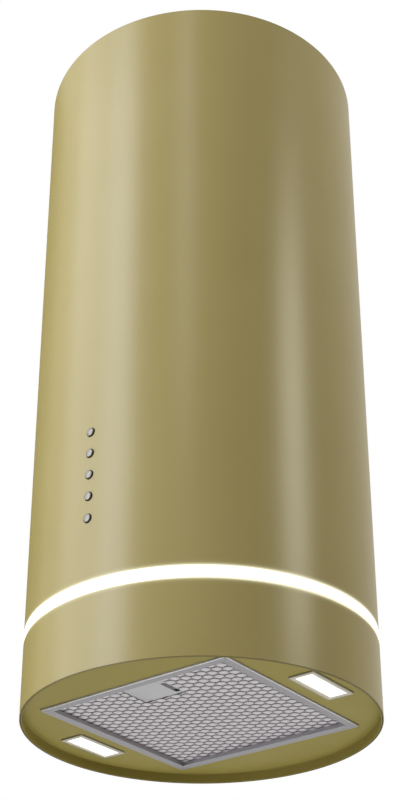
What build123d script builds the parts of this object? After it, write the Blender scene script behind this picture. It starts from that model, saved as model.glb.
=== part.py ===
"""Cylindrical island range hood with a light ring, for hanging from a ceiling.

Heights are measured up from the open lower rim, in millimetres, while the pieces are made. The
finished pieces are then lowered by the hood's height, so that the origin is the middle of the
ceiling plate's top face and the hood hangs below it. The push buttons face -Y, and +X is the
hood's right as seen by someone who faces them.
"""

import os
from math import acos, cos, degrees, radians, sqrt

from build123d import *

# Overall shells
shell_diameter = 390.0
shell_wall = 1.2
hood_height = 850.0
seam_width = 0.8
seam_depth = 0.3

# Clearances
slip_gap = 0.5  # between nested round shells
seat_gap = 0.3  # between a piece and what it is seated on
clip_gap = 0.2  # between moulded pieces that clip together
hole_gap = 0.3  # between a screw and the side of its hole

# Recessed underside
panel_recess = 11.0
panel_sheet = 1.2

# Light ring
band_bottom = 84.0
band_height = 14.8
diffuser_depth = 4.5
diffuser_lip = 4.2
carrier_sheet = 1.2
carrier_lip = 15.0
strip_width = 10.0
strip_thickness = 0.3
strip_led_count = 72
strip_led_side = 5.0
strip_led_depth = 1.6

# Inner drum and deck, which carry the blower
drum_to_shell = 15.8
drum_sheet = 1.0
drum_flange = 12.0
deck_height = 320.0
deck_sheet = 2.0
rim_fixing_count = 8

# Ceiling plate and hanger struts
plate_sheet = 2.5
plate_rim = 16.0
plate_opening_radius = 115.0
anchor_circle_radius = 150.0
anchor_hole_radius = 4.0
cable_hole_radius = 13.0
strut_circle_radius = 150.0
strut_leg = 30.0
strut_sheet = 2.0

# Screws, bolts and nuts
m3_radius = 1.5
m4_radius = 2.0
m5_radius = 2.5
head_radius_ratio = 1.9
head_height_ratio = 0.7
shell_screw_turn = 35.0
shell_screw_drop = 8.0

# Outlet collar and its non-return flaps
collar_radius = 75.0
collar_sheet = 1.2
collar_height = 60.0
collar_base_margin = 11.0
damper_height = 18.0
damper_pin_radius = 1.5
damper_pin_clearance = 0.08
damper_sheet = 1.0
damper_edge_gap = 0.6
knuckle_wall = 1.4
knuckle_length = 16.0
stop_size = 4.0

# Blower
blower_height = 180.0
impeller_radius = 72.0
impeller_inner_radius = 60.0
impeller_half_width = 42.0
impeller_gap = 7.0
impeller_sheet = 2.0
blade_count = 36
blade_thickness = 1.0
blade_angle = 35.0
blade_share = 0.92  # of the depth between the wheel's two radii
impeller_hub_radius = 10.0
press_gap = 0.02  # between a shaft or bearing and what it is pressed into
scroll_growth = 17.0
scroll_wall = 1.5
scroll_side_gap = 6.5
tongue_angle = 75.0
outlet_flange = 10.0
inlet_lip = 4.0
housing_lug_radius = 6.0
housing_lug_depth = 5.0
lug_turns = (130, 190, 250, 310)

# Motor
motor_radius = 40.0
motor_start = 7.0
motor_length = 58.0
motor_shell = 2.0
stator_length = 30.0
rotor_radius = 22.0
air_gap = 0.6
shaft_radius = 4.0
bearing_radius = 9.5
bearing_width = 7.0
bearing_clearance = 0.03
bracket_sheet = 2.0
bracket_arm_width = 14.0
bracket_arm_count = 3

# Electrical boxes on the deck
control_box_width = 92.0
control_box_depth = 62.0
control_box_height = 50.0
control_box_to_collar = 10.0
moulded_wall = 2.0
board_thickness = 1.6
board_standoff = 6.0
terminal_width = 36.0
gland_radius = 9.0
gland_bore_radius = 4.5
gland_height = 18.0
gland_x = 28.0
capacitor_radius = 15.0
capacitor_height = 58.0
driver_width = 38.0
driver_length = 88.0
driver_height = 24.0
driver_to_collar = 11.0

# Lamps in the underside
lamp_width = 29.2
lamp_length = 74.2
lamp_to_drum = 4.5
lamp_flange = 1.9
lamp_flange_thickness = 1.4
lamp_corner = 4.5
lamp_wall = 1.5
lamp_lip = 2.6
lamp_sleeve = 13.0
lens_inset = 0.3
lens_thickness = 2.2
lamp_led_count = 10
heatsink_fin_count = 9
heatsink_height = 14.0
heatsink_base = 3.0
heatsink_fin = 1.4

# Push buttons and their switch block
button_count = 5
button_radius = 5.0
button_pitch = 26.0
button_mid_height = 223.0
button_proud = 2.2
button_hole_gap = 0.4
button_travel = 2.5
button_flange_radius = 6.3
button_flange = 1.0
button_stem_radius = 2.0
switch_front_gap = 0.6
switch_wall = 1.2
switch_half_width = 14.0
switch_end_margin = 14.0
spring_room = 6.0
spring_wire_radius = 0.25
spring_coils = 4
switch_block_depth = 5.4

# Grease filter
filter_corner_gap = 3.5
filter_gap = 0.8
filter_proud = 2.2
filter_depth = 12.0
filter_border = 10.0
filter_recess = 5.5
filter_sheet = 0.8
mesh_sheet = 1.0
mesh_long_pitch = 19.8
mesh_short_pitch = 11.4
mesh_hole_length = 13.0
mesh_hole_width = 6.0
mesh_margin = 3.0
hook_width = 24.0
hook_reach = 8.0
hook_spacing = 140.0
hook_sheet = 1.2

# Filter latch
latch_half_width = 26.0
latch_length = 50.0
latch_sheet = 0.8
latch_slot_width = 6.0
latch_slot_length = 28.0
latch_slot_margin = 1.5
latch_travel = 6.0
latch_slide_sheet = 1.5
latch_bolt_half_width = 8.0
latch_spring_radius = 1.9
latch_spring_coils = 6
keeper_sheet = 1.2

# Radii and heights that follow from the sizes above
shell_radius = shell_diameter / 2
shell_inner = shell_radius - shell_wall
nested_radius = shell_inner - slip_gap
drum_radius = shell_radius - shell_wall - drum_to_shell
drum_inner = drum_radius - drum_sheet
flange_radius = drum_radius + drum_flange
rim_fixing_radius = drum_radius + drum_flange / 2
panel_top = panel_recess + panel_sheet
band_top = band_bottom + band_height
deck_top = deck_height + deck_sheet
plate_bottom = hood_height - plate_sheet
lamp_inner_corner = lamp_corner - lamp_flange - lamp_wall / 2
strut_place = strut_circle_radius / sqrt(2)

filter_side = (drum_inner - filter_corner_gap) * sqrt(2)
filter_opening = filter_side + 2 * filter_gap
filter_face = panel_recess - filter_proud
filter_top = filter_face + filter_depth
mesh_bottom = filter_face + filter_recess + clip_gap
mesh_side = filter_side - 2 * filter_sheet - 2 * clip_gap
pad_top = filter_top - filter_sheet - clip_gap
latch_front = -mesh_side / 2
latch_back = -filter_side / 2 + filter_border + latch_length

scroll_half_width = impeller_half_width + scroll_side_gap + scroll_wall
scroll_start_radius = impeller_radius + impeller_gap
scroll_end_radius = scroll_start_radius + scroll_growth
scroll_step = scroll_growth / 3
tongue_reach = (scroll_start_radius + scroll_step / 2) * cos(radians(tongue_angle)) - scroll_step / 2
blower_offset = -(tongue_reach + scroll_end_radius) / 2
motor_end = motor_start + motor_length

collar_half_side = collar_radius + collar_base_margin
control_box_start = collar_half_side + control_box_to_collar
driver_x = collar_half_side + driver_to_collar + driver_width / 2
capacitor_x = -driver_x

block_front = shell_wall + switch_front_gap + switch_wall + clip_gap + button_flange + spring_room
block_back = block_front + switch_block_depth
switch_half_height = (button_count - 1) * button_pitch / 2 + switch_end_margin


def box(x, y, z):
    """A block from three (low, high) pairs."""
    size = [high - low for low, high in (x, y, z)]
    middle = [(low + high) / 2 for low, high in (x, y, z)]
    return Pos(*middle) * Box(*size)


def ring(outer, inner, low, high):
    """A plain upright ring between two heights."""
    return Pos(0, 0, low) * extrude(Circle(outer) - Circle(inner), high - low)


def disc(radius, low, high):
    """A plain upright disc between two heights."""
    return Pos(0, 0, low) * extrude(Circle(radius), high - low)


def square_frame(outer, inner, low, high):
    """A square ring between two heights."""
    return Pos(0, 0, low) * extrude(Rectangle(outer, outer) - Rectangle(inner, inner), high - low)


def rounded_block(width, length, corner, low, high):
    """An upright block with rounded upright edges."""
    return Pos(0, 0, low) * extrude(RectangleRounded(width, length, corner), high - low)


def around(shape, count, start=0.0):
    """Copies of one shape, evenly spaced about the upright axis."""
    return [Rot(0, 0, start + 360 / count * k) * shape for k in range(count)]


def screw(radius, length, gap=0.0):
    """A pan-head screw or bolt, or its clearance hole, pointing down from its seat."""
    shank = Pos(0, 0, -length / 2) * Cylinder(radius + gap, length)
    if gap:
        return shank
    head_height = radius * 2 * head_height_ratio
    head = Pos(0, 0, head_height / 2) * Cylinder(radius * head_radius_ratio, head_height)
    return shank + head


def nut(radius, gap_below):
    """A hexagon nut with its washer face down at the given height."""
    return Pos(0, 0, gap_below) * extrude(RegularPolygon(radius * 2, 6), radius * 1.6)


def coil(radius, wire, turns, length):
    """A closed-end compression spring along +Z, from zero to its length."""
    height = length - 2 * wire
    path = Helix(height / turns, height, radius)
    section = Plane(path @ 0, z_dir=path % 0) * Circle(wire)
    return Pos(0, 0, wire) * sweep(section, path, is_frenet=True)


def blower_plane(x):
    """The upright plane square to the motor shaft, at a distance along it."""
    return Plane(origin=(x, blower_offset, blower_height), x_dir=(0, 1, 0), z_dir=(1, 0, 0))


def across(sketch, start, end):
    """A sketch on the blower's plane, drawn out along the shaft."""
    return extrude(blower_plane(start) * sketch, end - start)


def mirrored(shape):
    """The same shape on the hood's other side."""
    return mirror(shape, Plane.YZ)


# Shells and light ring


def seam(low, high):
    """The shallow joint line where a rolled shell is closed, at the back."""
    return box((-seam_width / 2, seam_width / 2),
               (shell_radius - seam_depth, shell_radius + 1), (low, high))


def button_heights():
    first = button_mid_height - (button_count - 1) * button_pitch / 2
    return [first + button_pitch * k for k in range(button_count)]


def shell_screw_places():
    """Where the upper shell is screwed to the ceiling plate, behind the hood."""
    drop = hood_height - shell_screw_drop
    spot = Pos(0, 0, drop) * Rot(0, 0, 90)
    return [spot * Rot(0, 0, turn) * Pos(shell_radius, 0, 0) * Rot(0, 90, 0)
            for turn in (-shell_screw_turn, shell_screw_turn)]


def make_upper_shell():
    shell = ring(shell_radius, shell_inner, band_top, hood_height)
    shell -= seam(band_top, hood_height)
    for height in button_heights():
        hole = Cylinder(button_radius + button_hole_gap, 20)
        shell -= Pos(0, -shell_radius, height) * Rot(90, 0, 0) * hole
    for place in shell_screw_places():
        shell -= place * screw(m4_radius, 10, hole_gap)
    return shell


def make_lower_shell():
    return ring(shell_radius, shell_inner, 0, band_bottom) - seam(0, band_bottom)


def make_light_ring_diffuser():
    inner = shell_radius - diffuser_depth
    band = ring(shell_radius, inner, band_bottom + clip_gap, band_top - clip_gap)
    return band + ring(shell_inner - seat_gap, inner, band_bottom - diffuser_lip,
                       band_top + diffuser_lip)


def carrier_levels():
    """The faces of the light ring carrier's two flanges."""
    low = band_bottom - diffuser_lip - seat_gap - carrier_sheet
    high = band_top + diffuser_lip + seat_gap + carrier_sheet
    return low, high


def carrier_screw(gap=0.0):
    middle = (band_bottom + band_top) / 2
    quarter = strip_width / 2 + m4_radius * head_radius_ratio + 1
    low = carrier_levels()[0] + carrier_sheet + m4_radius + 1
    height = min(middle - quarter, low)
    return Pos(drum_inner - clip_gap, 0, height) * Rot(0, -90, 0) * screw(m4_radius, 7, gap)


def make_light_ring_carrier():
    outer = shell_inner - seat_gap
    inner = drum_radius + seat_gap
    low, high = carrier_levels()
    carrier = ring(inner + carrier_sheet, inner, low, high)
    carrier += ring(outer, inner, low, low + carrier_sheet)
    carrier += ring(outer, inner, high - carrier_sheet, high)
    carrier += ring(outer, outer - carrier_sheet, low - carrier_lip, low + carrier_sheet)
    carrier += ring(outer, outer - carrier_sheet, high - carrier_sheet, high + carrier_lip)
    for hole in around(carrier_screw(hole_gap), rim_fixing_count, 22.5):
        carrier -= hole
    return carrier


def make_light_strip():
    radius = drum_radius + seat_gap + carrier_sheet + clip_gap
    middle = (band_bottom + band_top) / 2
    half = strip_width / 2
    tape = ring(radius + strip_thickness, radius, middle - half, middle + half)
    low = radius + strip_thickness + clip_gap
    side = strip_led_side / 2
    led = box((low, low + strip_led_depth), (-side, side), (middle - side, middle + side))
    return [tape, *around(led, strip_led_count)]


# Underside


def lamp_place():
    """How far each lamp is from the middle: as far out as its corners fit in the drum."""
    reach = drum_inner - lamp_to_drum
    return sqrt(reach**2 - (lamp_length / 2) ** 2) - lamp_width / 2


def make_bottom_panel():
    panel = disc(nested_radius, panel_recess, panel_top)
    panel += ring(nested_radius, nested_radius - panel_sheet, seat_gap, panel_top)
    panel -= box((-filter_opening / 2, filter_opening / 2),
                 (-filter_opening / 2, filter_opening / 2), (0, panel_top + 1))
    for side in (-1, 1):
        panel -= Pos(side * lamp_place(), 0, 0) * box(
            (-lamp_width / 2 - slip_gap, lamp_width / 2 + slip_gap),
            (-lamp_length / 2 - slip_gap, lamp_length / 2 + slip_gap), (0, panel_top + 1))
    edge = -filter_opening / 2
    keeper_half = latch_bolt_half_width * 1.5
    panel += box((-keeper_half, keeper_half), (edge - keeper_sheet, edge),
                 (panel_recess, slide_bottom() - seat_gap))
    return panel


def make_studs_and_nuts():
    """The welded studs and their nuts: round the panel, and above and below the switches."""
    stud = disc(m4_radius, panel_top, panel_top + 8)
    fixing = Pos(rim_fixing_radius, 0, 0) * (stud + nut(m4_radius, panel_top + drum_sheet))
    return around(fixing, rim_fixing_count, 22.5) + switch_fixings()


# Drum, deck, struts and ceiling plate


def make_plenum_drum():
    drum = ring(drum_radius, drum_inner, panel_top, deck_height)
    drum += ring(flange_radius, drum_inner, panel_top, panel_top + drum_sheet)
    drum += ring(flange_radius, drum_inner, deck_height - drum_sheet, deck_height)
    hole = Pos(rim_fixing_radius, 0, deck_height / 2) * Cylinder(m4_radius + hole_gap, deck_height)
    for cut in around(hole, rim_fixing_count, 22.5):
        drum -= cut
    for cut in around(carrier_screw(hole_gap), rim_fixing_count, 22.5):
        drum -= cut
    return drum


def strut_places():
    return [Rot(0, 0, 90 * k) * Pos(strut_place, strut_place, 0) for k in range(4)]


def outlet_span():
    """The blower outlet's inner width along the shaft, and its inner sides across it."""
    half = scroll_half_width - scroll_wall
    start = blower_offset + tongue_reach
    end = blower_offset + scroll_end_radius
    return half, start, end


def outlet_screw_places():
    half, start, end = outlet_span()
    reach = half + scroll_wall + outlet_flange / 2
    return [Pos(side * reach, start + (end - start) * share, deck_top)
            for side in (-1, 1) for share in (0.15, 0.85)]


def collar_screw_places():
    reach = collar_radius + collar_base_margin / 2 - 1
    return [Pos(x * reach, y * reach, deck_top + collar_sheet)
            for x in (-1, 1) for y in (-1, 1)]


def make_blower_deck():
    half, start, end = outlet_span()
    deck = disc(flange_radius, deck_height, deck_top)
    deck -= box((-half, half), (start, end), (deck_height - 1, deck_top + 1))
    hole = Pos(rim_fixing_radius, 0, deck_top) * screw(m4_radius, 10, hole_gap)
    for cut in around(hole, rim_fixing_count, 22.5):
        deck -= cut
    for place in outlet_screw_places() + collar_screw_places():
        deck -= place * screw(m4_radius, 10, hole_gap)
    for place in strut_places():
        deck -= place * Pos(0, 0, deck_top + strut_sheet) * screw(m5_radius, 14, hole_gap)
    return deck


def make_hanger_struts():
    half = strut_leg / 2
    low, high = deck_top, plate_bottom
    strut = box((-half, half), (-half, half), (low, low + strut_sheet))
    strut += box((-half, half), (-half, half), (high - strut_sheet, high))
    strut += box((half - strut_sheet, half), (-half, half), (low, high))
    strut += box((-half, half), (half - strut_sheet, half), (low, high))
    hole = Pos(0, 0, (low + high) / 2) * Cylinder(m5_radius + hole_gap, high - low + 2)
    return [place * (strut - hole) for place in strut_places()]


def make_strut_bolts():
    low = Pos(0, 0, deck_top + strut_sheet) * screw(m5_radius, strut_sheet + deck_sheet + 8)
    low += nut(m5_radius, deck_height - m5_radius * 1.6)
    high = Pos(0, 0, plate_bottom - strut_sheet) * Rot(180, 0, 0)
    high = high * screw(m5_radius, strut_sheet + plate_sheet - seat_gap)
    return [place * bolt for place in strut_places() for bolt in (low, high)]


def make_ceiling_plate():
    plate = disc(nested_radius, plate_bottom, hood_height)
    plate += ring(nested_radius, nested_radius - plate_sheet, hood_height - plate_rim, hood_height)
    plate -= disc(plate_opening_radius, plate_bottom - 1, hood_height + 1)
    anchor = Pos(anchor_circle_radius, 0, 0) * disc(anchor_hole_radius, plate_bottom - 1,
                                                    hood_height + 1)
    for cut in around(anchor, 4):
        plate -= cut
    plate -= gland_place() * disc(cable_hole_radius, plate_bottom - 1, hood_height + 1)
    for place in strut_places():
        plate -= place * disc(m5_radius + hole_gap, plate_bottom - 1, hood_height + 1)
    for place in shell_screw_places():
        plate -= place * screw(m4_radius, 10, hole_gap)
    return plate


# Outlet collar with two flaps that air lifts and their own weight closes


def damper_axis():
    return deck_top + damper_height


def make_outlet_collar():
    inner = collar_radius - collar_sheet
    square = Rectangle(2 * collar_half_side, 2 * collar_half_side)
    collar = ring(collar_radius, inner, deck_top, deck_top + collar_height)
    collar += Pos(0, 0, deck_top) * extrude(square - Circle(inner), collar_sheet)
    for turn in (0, 180):
        collar += Rot(0, 0, turn) * box(
            (inner - stop_size, inner + 0.1), (-stop_size, stop_size),
            (damper_axis() - damper_sheet / 2 - seat_gap - stop_size / 2,
             damper_axis() - damper_sheet / 2 - seat_gap))
    pin_hole = Cylinder(damper_pin_radius + damper_pin_clearance, 3 * collar_radius)
    collar -= Pos(0, 0, damper_axis()) * Rot(90, 0, 0) * pin_hole
    for place in collar_screw_places():
        collar -= place * screw(m4_radius, 10, hole_gap)
    return collar


def make_damper_pin():
    pin = Rot(90, 0, 0) * Cylinder(damper_pin_radius, 2 * collar_radius)
    return Pos(0, 0, damper_axis()) * pin


def make_damper_flap(side):
    """One half-round flap, with two knuckles on the pin. side is -1 for the left flap."""
    outer = collar_radius - collar_sheet - damper_edge_gap
    knuckle = damper_pin_radius + knuckle_wall
    edge = knuckle + clip_gap
    plate = Circle(outer) & Pos(outer / 2 + edge, 0) * Rectangle(outer, 2 * outer)
    flap = Pos(0, 0, -damper_sheet / 2) * extrude(plate, damper_sheet)
    reach = outer * 0.62
    for centre in (reach - side * knuckle_length * 0.55, -reach - side * knuckle_length * 0.55):
        tube = Pos(0, centre, 0) * Rot(90, 0, 0) * Cylinder(knuckle, knuckle_length)
        tube += box((0, edge + 1), (centre - knuckle_length / 2, centre + knuckle_length / 2),
                    (-damper_sheet / 2, damper_sheet / 2))
        flap += tube
    flap -= Rot(90, 0, 0) * Cylinder(damper_pin_radius + damper_pin_clearance, 3 * outer)
    if side < 0:
        flap = mirrored(flap)
    return Pos(0, 0, damper_axis()) * flap


# Blower


def scroll_arcs(wall=0.0):
    """The spiral's three arcs, as (middle, radius, first turn, last turn), each one step larger."""
    middles = [(-scroll_step / 2, -scroll_step / 2), (scroll_step / 2, -scroll_step / 2),
               (scroll_step / 2, scroll_step / 2)]
    radius = scroll_start_radius + scroll_step / 2 + wall
    tongue = degrees(acos((tongue_reach - wall + scroll_step / 2) / radius))
    turns = (tongue, 180, 270, 360)
    return [(middle, radius + scroll_step * k, turns[k], turns[k + 1])
            for k, middle in enumerate(middles)]


def scroll_outline(wall=0.0):
    """The scroll seen along the shaft: the spiral and the outlet's two sides, grown by a wall."""
    top = deck_height - blower_height
    spiral = [CenterArc(middle, radius, first, last - first)
              for middle, radius, first, last in scroll_arcs(wall)]
    start, end = spiral[0] @ 0, spiral[-1] @ 1
    sides = Polyline((end.X, end.Y), (end.X, top), (start.X, top), (start.X, start.Y))
    return make_face([*spiral, sides])


def lug_places():
    """The housing's screw lugs, spaced round the back of the spiral."""
    step = scroll_wall + housing_lug_radius * 0.8
    places = []
    for turn in lug_turns:
        for middle, radius, first, last in scroll_arcs():
            if first < turn <= last:
                places.append(Pos(*middle) * Rot(0, 0, turn) * Pos(radius + step, 0))
    return places


def make_scroll_housing(side):
    """One half of the moulded scroll: a side wall with a flared inlet, and half its rim."""
    half = scroll_half_width
    room, outline = scroll_outline(), scroll_outline(scroll_wall)
    housing = across(outline - room, 0, half)
    housing += across(outline - Circle(impeller_inner_radius), half - scroll_wall, half)
    lip = Circle(impeller_inner_radius + scroll_wall) - Circle(impeller_inner_radius)
    housing += across(lip, half - scroll_wall, half + inlet_lip)
    for place in lug_places():
        lug = place * Circle(housing_lug_radius) - room
        housing += across(lug, 0, housing_lug_depth)
        housing -= across(place * Circle(m4_radius + hole_gap), -1, housing_lug_depth + 1)
    flange_low = deck_height - scroll_wall
    span, start, end = outlet_span()
    reach = half + outlet_flange
    flange = box((0, reach), (start - scroll_wall, end + scroll_wall), (flange_low, deck_height))
    housing += flange - box((-1, span), (start, end), (flange_low - 1, deck_height + 1))
    if side < 0:
        housing = mirrored(housing)
    else:
        for place in bracket_foot_places():
            hole = place * Circle(m4_radius + hole_gap)
            housing -= across(hole, half - scroll_wall - 1, half + 1)
    for place in outlet_screw_places():
        housing -= place * screw(m4_radius, 14, hole_gap)
    return housing


def make_impeller():
    """Double-inlet wheel: forward-curved blades between two end rings, on a middle disc."""
    half = impeller_half_width
    middle = (impeller_radius + impeller_inner_radius) / 2
    length = (impeller_radius - impeller_inner_radius) / cos(radians(blade_angle)) * blade_share
    one = Pos(middle, 0) * Rot(0, 0, blade_angle) * Rectangle(length, blade_thickness)
    blades = Sketch() + [Rot(0, 0, 360 / blade_count * k) * one for k in range(blade_count)]
    wheel = across(blades, -half, half)
    end_ring = Circle(impeller_radius) - Circle(middle)
    wheel += across(end_ring, -half, -half + impeller_sheet)
    wheel += across(end_ring, half - impeller_sheet, half)
    wheel += across(Circle(impeller_radius), -impeller_sheet / 2, impeller_sheet / 2)
    wheel += across(Circle(impeller_hub_radius), -3 * shaft_radius, 2 * impeller_sheet)
    return wheel - across(Circle(shaft_radius + press_gap), -half, half)


def make_motor_shaft():
    return across(Circle(shaft_radius), -3 * shaft_radius, motor_end - motor_shell - seat_gap)


def stator_span():
    middle = (motor_start + motor_end) / 2
    return middle - stator_length / 2, middle + stator_length / 2


def make_motor_rotor():
    start, end = stator_span()
    section = Circle(rotor_radius) - Circle(shaft_radius + press_gap)
    return across(section, start, end)


def make_motor_stator():
    start, end = stator_span()
    inner = rotor_radius + air_gap
    iron = across(Circle(motor_radius) - Circle(inner), start, end)
    for turn in range(0, 360, 60):
        slot = Rot(0, 0, turn) * Pos(inner, 0) * Rectangle(12, 3)
        iron -= across(slot, start - 1, end + 1)
    winding = Circle(motor_radius - motor_shell - 2) - Circle(inner + 2)
    overhang = (motor_length - stator_length) / 2 - motor_shell - bearing_width - 1
    iron += across(winding, start - overhang, start)
    iron += across(winding, end, end + overhang)
    return iron


def make_motor_end_bell(outer_side):
    """A pressed cup that closes one end of the motor and seats a bearing."""
    start, end = stator_span()
    low, high = (end, motor_end) if outer_side else (motor_start, start)
    plate = (high - motor_shell, high) if outer_side else (low, low + motor_shell)
    bell = across(Circle(motor_radius) - Circle(motor_radius - motor_shell), low, high)
    bell += across(Circle(motor_radius), *plate)
    seat = bearing_span(outer_side)
    bell += across(Circle(bearing_radius + motor_shell), *seat)
    bell -= across(Circle(bearing_radius + press_gap), *seat)
    if not outer_side:
        bell -= across(Circle(shaft_radius + seat_gap), low - 1, low + motor_shell + 1)
    return bell


def bearing_span(outer_side):
    if outer_side:
        return motor_end - motor_shell - bearing_width, motor_end - motor_shell
    return motor_start + motor_shell, motor_start + motor_shell + bearing_width


def make_motor_bearings():
    section = Circle(bearing_radius) - Circle(shaft_radius + bearing_clearance)
    return [across(section, *bearing_span(side)) for side in (False, True)]


def bracket_foot_places():
    """The middles of the motor bracket's feet, between the inlet's lip and the scroll's rim."""
    reach = impeller_inner_radius + scroll_wall + (inlet_lip + bracket_arm_width) / 2
    return [Rot(0, 0, 30 + 360 / bracket_arm_count * k) * Pos(reach, 0)
            for k in range(bracket_arm_count)]


def make_motor_bracket():
    """A spider that carries the motor's outer end from the right-hand inlet wall."""
    outer = motor_end + bracket_sheet
    foot = Rectangle(bracket_arm_width, bracket_arm_width)
    bracket = across(Circle(motor_radius * 0.8), motor_end, outer)
    for place in bracket_foot_places():
        reach = place.position.length
        arm = place * Pos((bracket_arm_width - reach) / 2, 0)
        arm = arm * Rectangle(reach, bracket_arm_width)
        bracket += across(arm, motor_end, outer)
        leg = place * Pos((bracket_arm_width - bracket_sheet) / 2, 0)
        leg = leg * Rectangle(bracket_sheet, bracket_arm_width)
        bracket += across(leg, scroll_half_width, outer)
        hole = place * Circle(m4_radius + hole_gap)
        bracket += across(place * foot - hole, scroll_half_width, scroll_half_width + bracket_sheet)
        bracket -= across(hole, motor_end - 1, outer + 1)
    return bracket


# Electrical pieces on the deck


def make_control_box():
    half = control_box_width / 2
    y = (control_box_start, control_box_start + control_box_depth)
    z = (deck_top, deck_top + control_box_height)
    case = box((-half, half), y, z)
    case -= box((-half + moulded_wall, half - moulded_wall),
                (y[0] + moulded_wall, y[1] - moulded_wall), (z[0] + moulded_wall, z[1] + 1))
    for x in (-half + 8, half - 8):
        for depth in (y[0] + 8, y[1] - 8):
            case += Pos(x, depth, 0) * disc(3, z[0] + moulded_wall,
                                            z[0] + moulded_wall + board_standoff)
    return case


def make_control_box_lid():
    half = control_box_width / 2
    y = (control_box_start, control_box_start + control_box_depth)
    top = deck_top + control_box_height
    lid = box((-half, half), y, (top, top + moulded_wall))
    lip = moulded_wall + clip_gap
    lid += box((-half + lip, half - lip), (y[0] + lip, y[1] - lip), (top - 3, top))
    lid -= box((-half + 2 * lip, half - 2 * lip), (y[0] + 2 * lip, y[1] - 2 * lip), (top - 4, top))
    return lid - gland_place() * disc(gland_radius * 0.8 + clip_gap, top - 5, top + 5)


def board_level():
    return deck_top + moulded_wall + board_standoff


def make_control_board():
    half = control_box_width / 2 - moulded_wall - 1
    y = (control_box_start + moulded_wall + 1, control_box_start + control_box_depth
         - moulded_wall - 1)
    level = board_level()
    board = box((-half, half), y, (level, level + board_thickness))
    relay = box((-half + 12, -half + 30), (y[0] + 6, y[0] + 18), (level, level + 16))
    transformer = box((-half + 38, -half + 64), (y[0] + 6, y[0] + 28), (level, level + 22))
    return board + relay + transformer


def make_terminal_block():
    level = board_level() + board_thickness
    y = control_box_start + control_box_depth - 22
    block = box((-terminal_width / 2 - 12, terminal_width / 2 - 12), (y, y + 12),
                (level, level + 12))
    for k in range(4):
        x = -terminal_width / 2 - 12 + terminal_width / 4 * (k + 0.5)
        block -= Pos(x, y + 6, level + 12) * Cylinder(2.4, 8)
    return block


def gland_place():
    return Pos(gland_x, control_box_start + control_box_depth / 2, 0)


def make_cable_gland():
    top = deck_top + control_box_height + moulded_wall
    body = disc(gland_radius * 0.8, top - 8, top)
    body += disc(gland_radius, top, top + gland_height * 0.55)
    body += disc(gland_radius * 0.85, top, top + gland_height)
    locknut = Pos(0, 0, top - moulded_wall - 4) * extrude(RegularPolygon(gland_radius * 1.2, 6), 3.9)
    body += locknut
    return gland_place() * (body - disc(gland_bore_radius, top - 20, top + gland_height + 1))


def make_run_capacitor():
    can = disc(capacitor_radius, deck_top, deck_top + capacitor_height)
    can += disc(capacitor_radius + 1.5, deck_top, deck_top + 4)
    can += Pos(-5, 0, 0) * disc(1.5, deck_top + capacitor_height, deck_top + capacitor_height + 6)
    can += Pos(5, 0, 0) * disc(1.5, deck_top + capacitor_height, deck_top + capacitor_height + 6)
    return Pos(capacitor_x, 0, 0) * can


def make_led_driver():
    y = driver_length / 2
    x = (driver_x - driver_width / 2, driver_x + driver_width / 2)
    case = box(x, (-y, y), (deck_top, deck_top + driver_height))
    for end in (-1, 1):
        case += box(x, (end * y - 8 * (end < 0), end * y + 8 * (end > 0)), (deck_top, deck_top + 3))
    return case


# Lamps


def make_lamp_bezel(side):
    low = panel_recess - lamp_flange_thickness
    width, length = lamp_width + 2 * lamp_flange, lamp_length + 2 * lamp_flange
    bezel = rounded_block(width, length, lamp_corner, low, panel_recess)
    corner = lamp_corner - lamp_flange
    bezel += rounded_block(lamp_width, lamp_length, corner, low, panel_recess + lamp_sleeve)
    bezel -= rounded_block(lamp_width - 2 * lamp_wall, lamp_length - 2 * lamp_wall,
                           lamp_inner_corner, panel_recess, panel_recess + lamp_sleeve + 1)
    window = 2 * (lamp_wall + lamp_lip)
    bezel -= rounded_block(lamp_width - window, lamp_length - window, lamp_inner_corner,
                           low - 1, panel_recess + 1)
    for turn in (-1, 1):
        edge = turn * lamp_width / 2
        lug = sorted((edge - turn * 0.5, edge + turn * (slip_gap + 0.7)))
        bezel += box(lug, (-6, 6), (panel_top + seat_gap, panel_top + seat_gap + 3))
    return Pos(side * lamp_place(), 0, 0) * bezel


def make_lamp_lens(side):
    low = panel_recess - lamp_flange_thickness + lens_inset
    window = 2 * (lamp_wall + lamp_lip + clip_gap)
    lens = rounded_block(lamp_width - window, lamp_length - window, lamp_inner_corner,
                         low, low + lens_thickness)
    behind = 2 * (lamp_wall + clip_gap)
    lens += rounded_block(lamp_width - behind, lamp_length - behind, lamp_inner_corner,
                          panel_recess + clip_gap, low + lens_thickness)
    return Pos(side * lamp_place(), 0, 0) * lens


def lamp_board_level():
    return panel_recess + lamp_sleeve * 0.5


def make_lamp_board(side):
    level = lamp_board_level()
    x = lamp_width / 2 - lamp_wall - clip_gap
    y = lamp_length / 2 - lamp_wall - clip_gap
    board = rounded_block(2 * x, 2 * y, lamp_inner_corner, level, level + board_thickness)
    step = 2 * y / lamp_led_count
    leds = [box((-1.75, 1.75), (-y + step * (k + 0.5) - 1.4, -y + step * (k + 0.5) + 1.4),
                (level - 0.8, level)) for k in range(lamp_led_count)]
    place = Pos(side * lamp_place(), 0, 0)
    return [place * piece for piece in (board, *leds)]


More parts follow.
